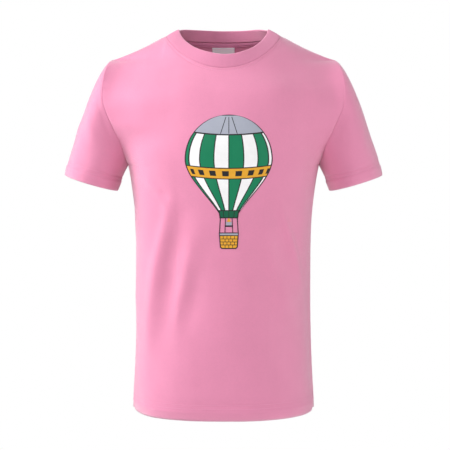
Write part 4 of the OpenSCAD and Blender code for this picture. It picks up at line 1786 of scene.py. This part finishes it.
@dataclass
class ShoulderTape(Tape):
    """The tape under one shoulder seam."""

    hand: str
    front: BodyPanel
    back: BodyPanel
    downs: tuple[float, ...] = (5.0, 3.5, 2.0, 0.7)

    def build(self, wardrobe: Wardrobe) -> bpy.types.Object:
        """Makes the tape.

        Args:
            wardrobe: the finishes.

        Returns:
            The tape's object.
        """
        way = 1 if self.hand == "left" else -1
        lines = [(self.front, down) for down in self.downs]
        lines += [(self.back, down) for down in self.downs[::-1]]
        cloth = self.lay(lines, (1.1 * way, 1.9 * way), 90, outward=way)
        piece = self.band(cloth, f"{self.hand}_shoulder_tape_band", wardrobe)
        wear_in(piece, "tape", f"{self.hand}_shoulder_tape")
        return piece


def node_box(node: str) -> tuple[Array, Array]:
    """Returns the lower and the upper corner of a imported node, in millimetres."""
    low, high = (np.array(v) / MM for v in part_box(node))
    return low, high


def upright(low: Array, high: Array, cols: int, rows: int) -> tuple[Array, Array]:
    """Returns the x and z of a grid that fills a box as seen from the front."""
    return np.meshgrid(np.linspace(low[0], high[0], cols), np.linspace(low[2], high[2], rows))


@dataclass
class NeckLabel:
    """The blank label below the neck tape, held along its top edge.

    Attributes:
        curl: how far its foot stands off, in millimetres.
        thickness: of the label.
        cols: columns of its grid.
        rows: rows of its grid.
    """

    curl: float = 1.6
    thickness: float = 0.4
    cols: int = 28
    rows: int = 30

    def build(self, wardrobe: Wardrobe) -> bpy.types.Object:
        """Makes the label inside the box of its node.

        Args:
            wardrobe: the finishes.

        Returns:
            The label's object.
        """
        low, high = node_box("neck_label")
        size = high - low
        x, z = upright(low, high, self.cols, self.rows)
        p, q = (x - low[0]) / size[0], (high[2] - z) / size[2]
        bow = self.curl * (q**1.5) * (0.4 + 0.6 * np.sin(np.pi * p))
        bow = bow + 0.25 * np.sin(2 * np.pi * (p + q * 0.6)) * q
        sides, foot = np.minimum(p, 1 - p) * size[0], (1 - q) * size[2]
        edge = 0.12 * (np.exp(-sides / 1.2) + np.exp(-foot / 1.2))
        cloth = Cloth(np.stack([x, low[1] - bow - edge, z], axis=-1), 1)
        mesh = shell(cloth, self.thickness, np.stack([x - low[0], z - low[2]], axis=-1))
        piece = mesh.build("neck_label_cloth", [wardrobe.label])
        threads = Mesh()
        row, col = np.full(60, self.rows - 1 - 1.6), np.linspace(0.8, self.cols - 1.8, 60)
        Needle(stitch=2.2).sew(threads, *cloth.sample(row, col))
        sewn = threads.build("neck_label_cloth_stitches", [wardrobe.thread])
        wear_in(piece, "label", "neck_label")
        wear_in(sewn, "label")
        return piece


@dataclass
class CareLabel:
    """The blank label in the wearer's left side seam."""

    curl: float = 1.4
    cols: int = 22
    rows: int = 34

    def build(self, wardrobe: Wardrobe) -> bpy.types.Object:
        """Makes the label from the seam inwards.

        Args:
            wardrobe: the finishes.

        Returns:
            The label's object.
        """
        low, high = node_box("care_label")
        x, z = upright(low, high, self.cols, self.rows)
        p, q = (high[0] - x) / (high[0] - low[0]), (z - low[2]) / (high[2] - low[2])
        y = self.curl * p**1.6 * np.sin(np.pi * (q + 0.15)) + 0.3 * np.sin(2 * np.pi * q) * p
        grain = np.stack([x - low[0], z - low[2]], axis=-1)
        mesh = shell(Cloth(np.stack([x, y, z], axis=-1), 1), high[1] - low[1], grain)
        piece = mesh.build("care_label_cloth", [wardrobe.label])
        wear_in(piece, "label", "care_label")
        return piece


# ---------------------------------------------------------------- print


@dataclass(frozen=True)
class Shape:
    """One area of ink, as a closed outline from the print's foot, in millimetres."""

    ink: Ink
    outline: Array


@dataclass
class BalloonPrint:
    """A hot-air balloon printed on the chest: gores, bands, cap, lines and basket."""

    form: ShirtForm
    front: BodyPanel
    line: float = 1.5
    step: float = 2.6
    lift: float = 0.3
    mouth: float = 48.0
    basket_w: float = 27.0
    basket_h: float = 22.0
    sag: float = 0.07
    side_points: int = 34
    level_points: int = 9
    window_turn: float = 19.1  # degrees from one window to the next
    first_window: float = -86.0
    belt: tuple[float, float] = (96.0, 112.0)
    belt_face: tuple[float, float] = (97.4, 110.6)
    windows: tuple[float, float] = (100.5, 107.5)
    cap_foot: tuple[float, float] = (154.0, 155.6)
    x0: float = field(init=False)
    z0: float = field(init=False)
    height: float = field(init=False)
    radius: float = field(init=False)
    belly: float = field(init=False)
    shapes: list[Shape] = field(default_factory=list)

    def __post_init__(self) -> None:
        """Takes the print's place and size from its node."""
        low, high = node_box("chest_print")
        self.x0, self.z0 = (low[0] + high[0]) / 2, low[2]
        self.height, self.radius = high[2] - low[2], (high[0] - low[0]) / 2
        self.belly = self.height - self.radius

    def half(self, h: Array) -> Array:
        """Returns half the envelope's width at a height above the foot."""
        up = np.clip((h - self.belly) / self.radius, 0, 1)
        down = np.clip((self.belly - h) / (self.belly - self.mouth), 0, 1)
        top = self.radius * np.sqrt(1 - up**2)
        low = mix(self.radius, self.basket_w / 2, ease(down) * 0.5 + down**2 * 0.5)
        return np.where(h > self.belly, top, low)

    def lay(self, ink: Ink, outline: Array | Sequence[tuple[float, float]]) -> None:
        """Adds an area of ink on top of the ones before it."""
        self.shapes.append(Shape(ink, np.asarray(outline)))

    @staticmethod
    def between(right: Array, left: Array, h: Array) -> Array:
        """Returns the outline between two lines that are given by their heights."""
        return np.concatenate([np.stack([right, h], axis=-1), np.stack([left, h], axis=-1)[::-1]])

    def level(self, h: float, share: Array) -> Array:
        """Returns points of a level that hangs lowest in the middle, at shares of its half width."""
        bow = self.sag * self.half(np.array(h)) * (1 - share**2)
        return np.stack([self.half(h - bow) * share, h - bow], axis=-1)

    def band(
        self, ink: Ink, ends: tuple[float, float], levels: tuple[float, float], inset: float = 0.0
    ) -> None:
        """Adds an area between two meridians and two curved levels.

        Args:
            ink: its colour.
            ends: the left and the right meridian's share of the half width.
            levels: heights of the lower and the upper level on the middle line.
            inset: how far it keeps in from the meridians, in millimetres.
        """
        (left, right), (low, high) = ends, levels
        shares = np.linspace(left, right, self.level_points)
        sides = []
        for share, way in ((right, -1), (left, 1)):
            bow = self.sag * (1 - share**2)
            first, last = (h - bow * self.half(np.array(h)) for h in levels)
            h = np.linspace(first, last, self.side_points)
            sides.append(np.stack([self.half(h) * share + way * inset, h], axis=-1))
        foot, top = self.level(low, shares)[1:-1], self.level(high, shares)[::-1][1:-1]
        self.lay(ink, np.concatenate([foot, sides[0], top, sides[1][::-1]]))

    def box(
        self, ink: Ink, half: float, levels: tuple[float, float], flare: float = 0.0, corner: float = 0.0
    ) -> None:
        """Adds a four-sided area on the middle line.

        Args:
            ink: its colour.
            half: half its width at its foot.
            levels: heights of its foot and its top.
            flare: how much further out its top reaches.
            corner: size of the cut corners at its foot.
        """
        low, high = levels
        right = [(half - corner, low), (half, low + corner), (half + flare, high)]
        left = [(-half - flare, high), (-half, low + corner)]
        self.lay(ink, [(-half + corner, low), *right, *left])

    def stroke(self, ink: Ink, a: tuple[float, float], b: tuple[float, float], width: float) -> None:
        """Adds a straight line of ink.

        Args:
            ink: its colour.
            a: where it starts.
            b: where it ends.
            width: of the line.
        """
        p, q = np.array(a), np.array(b)
        way = (q - p) / np.linalg.norm(q - p)
        side = np.array([-way[1], way[0]]) * width / 2
        self.lay(ink, np.stack([p - side, q - side, q + side, p + side]))

    def draw(self) -> None:
        """Lays the inks down, from the back to the front."""
        crown = self.belly + self.radius * np.sin(np.linspace(0, np.pi / 2, 30))[1:]
        h = np.concatenate([np.linspace(self.mouth, self.belly, 40), crown])
        half = np.maximum(self.half(h), 0.4)
        self.lay(Ink.BLACK, self.between(half, -half, h))
        shares = np.sin(np.radians([-90, -66, -42, -20, 0, 20, 42, 66, 90]))
        for n, ink in enumerate([Ink.GREEN, Ink.WHITE] * 4):
            line = self.line * (1.0 if 0 < n < 7 else 1.3)
            self.gore(ink, shares[n] if n else -1.0, shares[n + 1], line)
        self.band(Ink.BLACK, (-1, 1), self.belt)
        self.band(Ink.AMBER, (-1, 1), self.belt_face, self.line)
        for n in range(9):
            turns = (self.first_window + self.window_turn * (n + part) for part in (0, 0.5))
            ends = tuple(math.sin(math.radians(turn)) for turn in turns)
            self.band(Ink.BLACK, ends, self.windows)
        self.cap()
        self.skirt()
        self.basket()

    def gore(self, ink: Ink, left: float, right: float, line: float) -> None:
        """Adds one gore of the envelope with a black line on each side of it.

        Args:
            ink: its colour.
            left: share of the half width at its left seam.
            right: share at its right seam.
            line: width of the black lines.
        """
        low, high = self.mouth + 4, self.height - 2.2
        h = np.concatenate([np.linspace(low, self.belly, 34), np.linspace(self.belly, high, 26)[1:]])
        half = np.maximum(self.half(h) - self.line * 0.4, 0.5)
        a = half * left + line / 2
        b = np.maximum(half * right - line / 2, a + 0.3)
        self.lay(ink, self.between(b, a, h))

    def cap(self) -> None:
        """Adds the cap at the crown."""
        black, grey = self.cap_foot
        for ink, low, inset in ((Ink.BLACK, black, 0.0), (Ink.GREY, grey, 1.3)):
            h = low + (self.height - inset - low) * np.sin(np.linspace(0, np.pi / 2, 26))
            half = np.maximum(self.half(h) - inset, 0.0)
            share = np.linspace(1, -1, 19)[1:-1]
            foot = np.stack([half[0] * share, low - self.sag * half[0] * (1 - share**2)], axis=-1)
            arc = np.stack([half, h], axis=-1)
            self.lay(ink, np.concatenate([arc * np.array([-1, 1]), arc[::-1][1:], foot]))
        for x in (-11.0, 0.0, 11.0):
            self.stroke(Ink.BLACK, (x, 153.0), (x * 0.35, self.height - 3), 1.0)

    def skirt(self) -> None:
        """Adds the skirt below the envelope, the burner and the ropes."""
        w, mouth, rim = self.basket_w / 2, self.mouth, self.basket_h - 1
        self.box(Ink.BLACK, w - 1.2, (mouth - 7, mouth + 4), 1.6)
        self.box(Ink.DARK_GREEN, w - 2.6, (mouth - 5.6, mouth + 2.6), 1.4)
        for x in (-6.5, 0.0, 6.5):
            self.stroke(Ink.BLACK, (x, mouth - 7), (x * 1.15, mouth + 4), 0.9)
        for way in (-1, 1):
            self.stroke(Ink.BLACK, (way * (w - 1.0), rim), (way * (w - 2.4), mouth - 6), 1.2)
            self.stroke(Ink.BLACK, (way * 5.2, rim), (way * 4.4, mouth - 6), 1.0)
        self.box(Ink.GREY, 3.4, (31.5, 36.0), 0.6)
        self.box(Ink.BLACK, 5.4, (29.6, 31.6))
        self.lay(Ink.AMBER, [(-2.2, 36.4), (2.2, 36.4), (2.0, 38.4), (0.0, 41.6), (-2.0, 38.4)])

    def basket(self) -> None:
        """Adds the wicker basket."""
        w, h = self.basket_w / 2, self.basket_h
        self.box(Ink.BLACK, w - 1.6, (0.0, h), 1.4, 2.4)
        self.box(Ink.AMBER, w - 3.0, (1.4, h - 4.6), 1.0, 1.6)
        self.box(Ink.GREY, w - 1.5, (h - 3.4, h - 1.2), 0.2)
        for n in range(1, 4):
            y = 1.4 + n * 4.0
            self.stroke(Ink.BLACK, (-w + 2.6, y), (w - 2.6, y), 0.9)
        for row in range(4):
            for n in range(-2, 3):
                x = n * 5.0 + (2.5 if row % 2 else 0.0)
                if abs(x) < w - 3.5:
                    self.stroke(Ink.BLACK, (x, 1.6 + row * 4.0), (x, 5.2 + row * 4.0), 0.8)

    def finer(self, outline: Array) -> Array:
        """Returns an outline with no edge longer than the mesh step."""
        ends = np.roll(outline, -1, axis=0)
        counts = np.maximum(1, np.ceil(np.linalg.norm(ends - outline, axis=1) / self.step)).astype(int)
        parts = [mix(a, b, (np.arange(n) / n)[:, None]) for a, b, n in zip(outline, ends, counts)]
        return np.concatenate(parts)

    @staticmethod
    def holds(outline: Array, places: Array) -> Array:
        """Says which places lie inside an outline.

        Args:
            outline: (n, 2) closed outline.
            places: (m, 2).

        Returns:
            (m,) of bool.
        """
        a, b = outline, np.roll(outline, -1, axis=0)
        x, y = places[:, 0][:, None], places[:, 1][:, None]
        crosses = (a[:, 1] > y) != (b[:, 1] > y)
        rise = b[:, 1] - a[:, 1]
        rise = np.where(np.abs(rise) < TINY, TINY, rise)
        at = a[:, 0] + (y - a[:, 1]) / rise * (b[:, 0] - a[:, 0])
        return (np.sum(crosses & (x < at), axis=1) % 2).astype(bool)

    def cut(self) -> tuple[Array, Array, Array]:
        """Cuts the print's areas into triangles that each have one ink.

        Returns:
            Points from the print's foot, triangles all turned the same way and their ink numbers.
        """
        self.draw()
        points, edges = [], []
        for shape in self.shapes:
            outline = self.finer(shape.outline)
            start, n = len(points), len(outline)
            points += [Vector(p) for p in outline.tolist()]
            edges += [(start + i, start + (i + 1) % n) for i in range(n)]
        xs = np.arange(-self.radius, self.radius, self.step)
        hs = np.arange(0, self.height, self.step)
        points += [Vector((x + (0.3 if i % 2 else -0.3), h)) for x in xs for i, h in enumerate(hs)]
        cut = delaunay_2d_cdt(points, edges, [], 0, 1e-4)
        verts = np.array([tuple(p) for p in cut[0]])
        tris = np.array([f for f in cut[2] if len(f) == 3])
        centre = verts[tris].mean(axis=1)
        ink = np.full(len(tris), -1)
        for shape in self.shapes:
            ink[self.holds(shape.outline, centre)] = shape.ink.number
        tris, ink = tris[ink >= 0], ink[ink >= 0]
        used, back = np.unique(tris, return_inverse=True)
        tris, verts = back.reshape(-1, 3), verts[used]
        a, b, c = (verts[tris[:, n]] for n in range(3))
        turned = (b[:, 0] - a[:, 0]) * (c[:, 1] - a[:, 1]) - (b[:, 1] - a[:, 1]) * (c[:, 0] - a[:, 0]) < 0
        tris[turned] = tris[turned][:, ::-1]
        return verts, tris, ink

    def build(self, wardrobe: Wardrobe) -> bpy.types.Object:
        """Lays the print on the front.

        Args:
            wardrobe: the finishes.

        Returns:
            The film's object.
        """
        verts, tris, ink = self.cut()
        x, z = verts[:, 0] + self.x0, verts[:, 1] + self.z0
        u, v = self.form.find(x, z, Side.FRONT)
        row = np.interp(v, self.front.v, np.arange(len(self.front.v)))
        laid, _ = self.front.cloth.sample(row, (u + 2) / 4 * self.front.cols, self.lift)
        mesh = Mesh()
        mesh.add(laid, tris, np.stack([x, z], axis=-1), None, ink)
        piece = mesh.build("balloon_film", wardrobe.inks)
        wear_in(piece, "print", "chest_print")
        return piece


# ---------------------------------------------------------------- studio


@dataclass(frozen=True)
class Lamp:
    """One soft round lamp.

    Attributes:
        name: what it is called.
        at: where it hangs, in metres.
        size: how wide it is, in metres.
        watts: its power.
    """

    name: str
    at: tuple[float, float, float]
    size: float
    watts: float


LAMPS = (
    Lamp("side", (-2.0, -0.33, 0.9), 1.2, 62),
    Lamp("front", (-0.35, -1.25, 0.55), 1.0, 8.4),
    Lamp("fill", (2.1, -1.0, 0.0), 1.4, 22),
    Lamp("back", (0.5, 2.2, 0.5), 1.8, 15),
)


@dataclass
class Studio:
    """A pale floor, a white surround, soft light and the camera."""

    floor_z: float = -1.07
    camera_at: tuple[float, float, float] = (0.0, -1.70, -0.135)
    aim: tuple[float, float, float] = (0.002, 0.0, -0.263)
    lamp_aim: tuple[float, float, float] = (0.0, 0.0, -0.25)
    focal: float = 97.0
    world_light: float = 0.3
    near: float = 1.15  # how far the floor stays plain, in metres
    fade: float = 0.7  # over how much more it turns white

    @staticmethod
    def hang(
        name: str, data: bpy.types.ID, at: Sequence[float], aim: Sequence[float]
    ) -> bpy.types.Object:
        """Places a lamp or a camera and turns it to a point.

        Args:
            name: the object's name.
            data: the lamp or the camera.
            at: where it stands.
            aim: what it looks at.

        Returns:
            The object, linked to the scene.
        """
        holder = bpy.data.objects.new(name, data)
        holder.location = at
        holder.rotation_euler = (Vector(aim) - Vector(at)).to_track_quat("-Z", "Y").to_euler()
        bpy.context.scene.collection.objects.link(holder)
        return holder

    def light(self, lamp: Lamp) -> None:
        """Hangs one lamp that shines at the shirt."""
        data = bpy.data.lights.new(lamp.name, "AREA")
        data.shape, data.size, data.energy = "DISK", lamp.size, lamp.watts
        self.hang(lamp.name, data, lamp.at, self.lamp_aim)

    def surround(self) -> None:
        """Makes the world: white where it is seen, weaker as light."""
        world = bpy.data.worlds.new("studio")
        bpy.context.scene.world = world
        world.use_nodes = True
        tree = world.node_tree
        tree.nodes.clear()
        out, path = tree.nodes.new("ShaderNodeOutputWorld"), tree.nodes.new("ShaderNodeLightPath")
        lit, seen = tree.nodes.new("ShaderNodeBackground"), tree.nodes.new("ShaderNodeBackground")
        lit.inputs["Color"].default_value = (1.0, 0.98, 0.99, 1)
        lit.inputs["Strength"].default_value = self.world_light
        seen.inputs["Strength"].default_value = 1.0
        seen.inputs["Color"].default_value = (1, 1, 1, 1)
        pick = tree.nodes.new("ShaderNodeMixShader")
        tree.links.new(path.outputs["Is Camera Ray"], pick.inputs[0])
        tree.links.new(lit.outputs[0], pick.inputs[1])
        tree.links.new(seen.outputs[0], pick.inputs[2])
        tree.links.new(pick.outputs[0], out.inputs["Surface"])

    def floor(self) -> None:
        """Lays the floor: pale and able to take a shadow near the shirt, white further off."""
        bpy.ops.mesh.primitive_plane_add(size=16, location=(0, 0, self.floor_z))
        plane = bpy.context.object
        plane.name = "floor"
        n = Nodes("pale_floor")
        diffuse, glow = n.add("ShaderNodeBsdfDiffuse"), n.add("ShaderNodeEmission")
        tone = n.ramp(n.noise(3.0), (0.86, 0.86, 0.86), (0.9, 0.9, 0.9))
        n.put(diffuse.inputs["Color"], tone)
        where = n.add("ShaderNodeVectorMath", operation="LENGTH")
        n.put(where.inputs[0], n.add("ShaderNodeNewGeometry").outputs["Position"])
        run = n.math("DIVIDE", n.math("SUBTRACT", where.outputs["Value"], self.near), self.fade)
        far = n.math("SMOOTH_MIN", n.math("MAXIMUM", run, 0.0), 1.0, 0.1)
        seen = n.math("MULTIPLY", far, n.add("ShaderNodeLightPath").outputs["Is Camera Ray"])
        pick = n.add("ShaderNodeMixShader")
        n.put(pick.inputs[0], seen)
        n.put(pick.inputs[1], diffuse.outputs[0])
        n.put(pick.inputs[2], glow.outputs[0])
        n.put(n.out.inputs["Surface"], pick.outputs[0])
        plane.data.materials.append(n.material)

    def camera(self) -> None:
        """Stands the camera in front of the shirt."""
        lens = bpy.data.cameras.new("camera")
        lens.lens, lens.sensor_width = self.focal, 36.0
        bpy.context.scene.camera = self.hang("camera", lens, self.camera_at, self.aim)

    def build(self) -> None:
        """Sets the studio up."""
        self.surround()
        self.floor()
        for lamp in LAMPS:
            self.light(lamp)
        self.camera()
        bpy.context.scene.view_settings.view_transform = "Standard"
        log.info("studio ready")


# ---------------------------------------------------------------- the whole shirt


LEFT_SLEEVE_FOLDS = (
    Ridge(((150, -60), (152, -100), (150, -140)), 12, -1.4, 0.0, 10),
    Ridge(((180, -90), (186, -130), (190, -170)), 10, 1.2, 1.0, 10),
)
RIGHT_SLEEVE_FOLDS = (
    Ridge(((164, -80), (156, -110), (146, -150)), 10, -2.4, 0.0, 10),
    Ridge(((184, -90), (182, -120), (176, -150)), 7, 1.1, 1.1, 7),
    Ridge(((196, -100), (198, -140), (200, -180)), 9, 1.0, 1.0, 9),
)


@dataclass
class Shirt:
    """The whole garment."""

    form: ShirtForm
    wardrobe: Wardrobe

    def build(self) -> None:
        """Makes every sub-assembly in order."""
        front = BodyPanel(self.form, Side.FRONT, FRONT_FOLDS, Ripple(11, 0.9, 24, 120))
        back = BodyPanel(self.form, Side.BACK, BACK_FOLDS, Ripple(23, 1.2, 24, 130))
        for panel in (front, back):
            panel.build(self.wardrobe)
            panel.build_stitches(self.wardrobe)
        BottomHem(self.form, front, back).build(self.wardrobe)
        for hand, folds, seed in (("left", LEFT_SLEEVE_FOLDS, 31), ("right", RIGHT_SLEEVE_FOLDS, 37)):
            Sleeve(self.form, hand, folds, Ripple(seed, 0.8, 22, 80)).build(self.wardrobe)
        NeckRib(self.form).build(self.wardrobe)
        NeckTape(self.form, back).build(self.wardrobe)
        for hand in ("left", "right"):
            ShoulderTape(self.form, hand, front, back).build(self.wardrobe)
        NeckLabel().build(self.wardrobe)
        CareLabel().build(self.wardrobe)
        BalloonPrint(self.form, front).build(self.wardrobe)


def main() -> None:
    """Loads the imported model, builds the shirt on it and sets the studio up."""
    logging.basicConfig(level=logging.INFO, format="%(name)s: %(message)s")
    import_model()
    form = ShirtForm()
    Shirt(form, Wardrobe.fill()).build()
    Studio().build()
    bpy.context.view_layer.update()


if __name__ == "__main__":
    main()
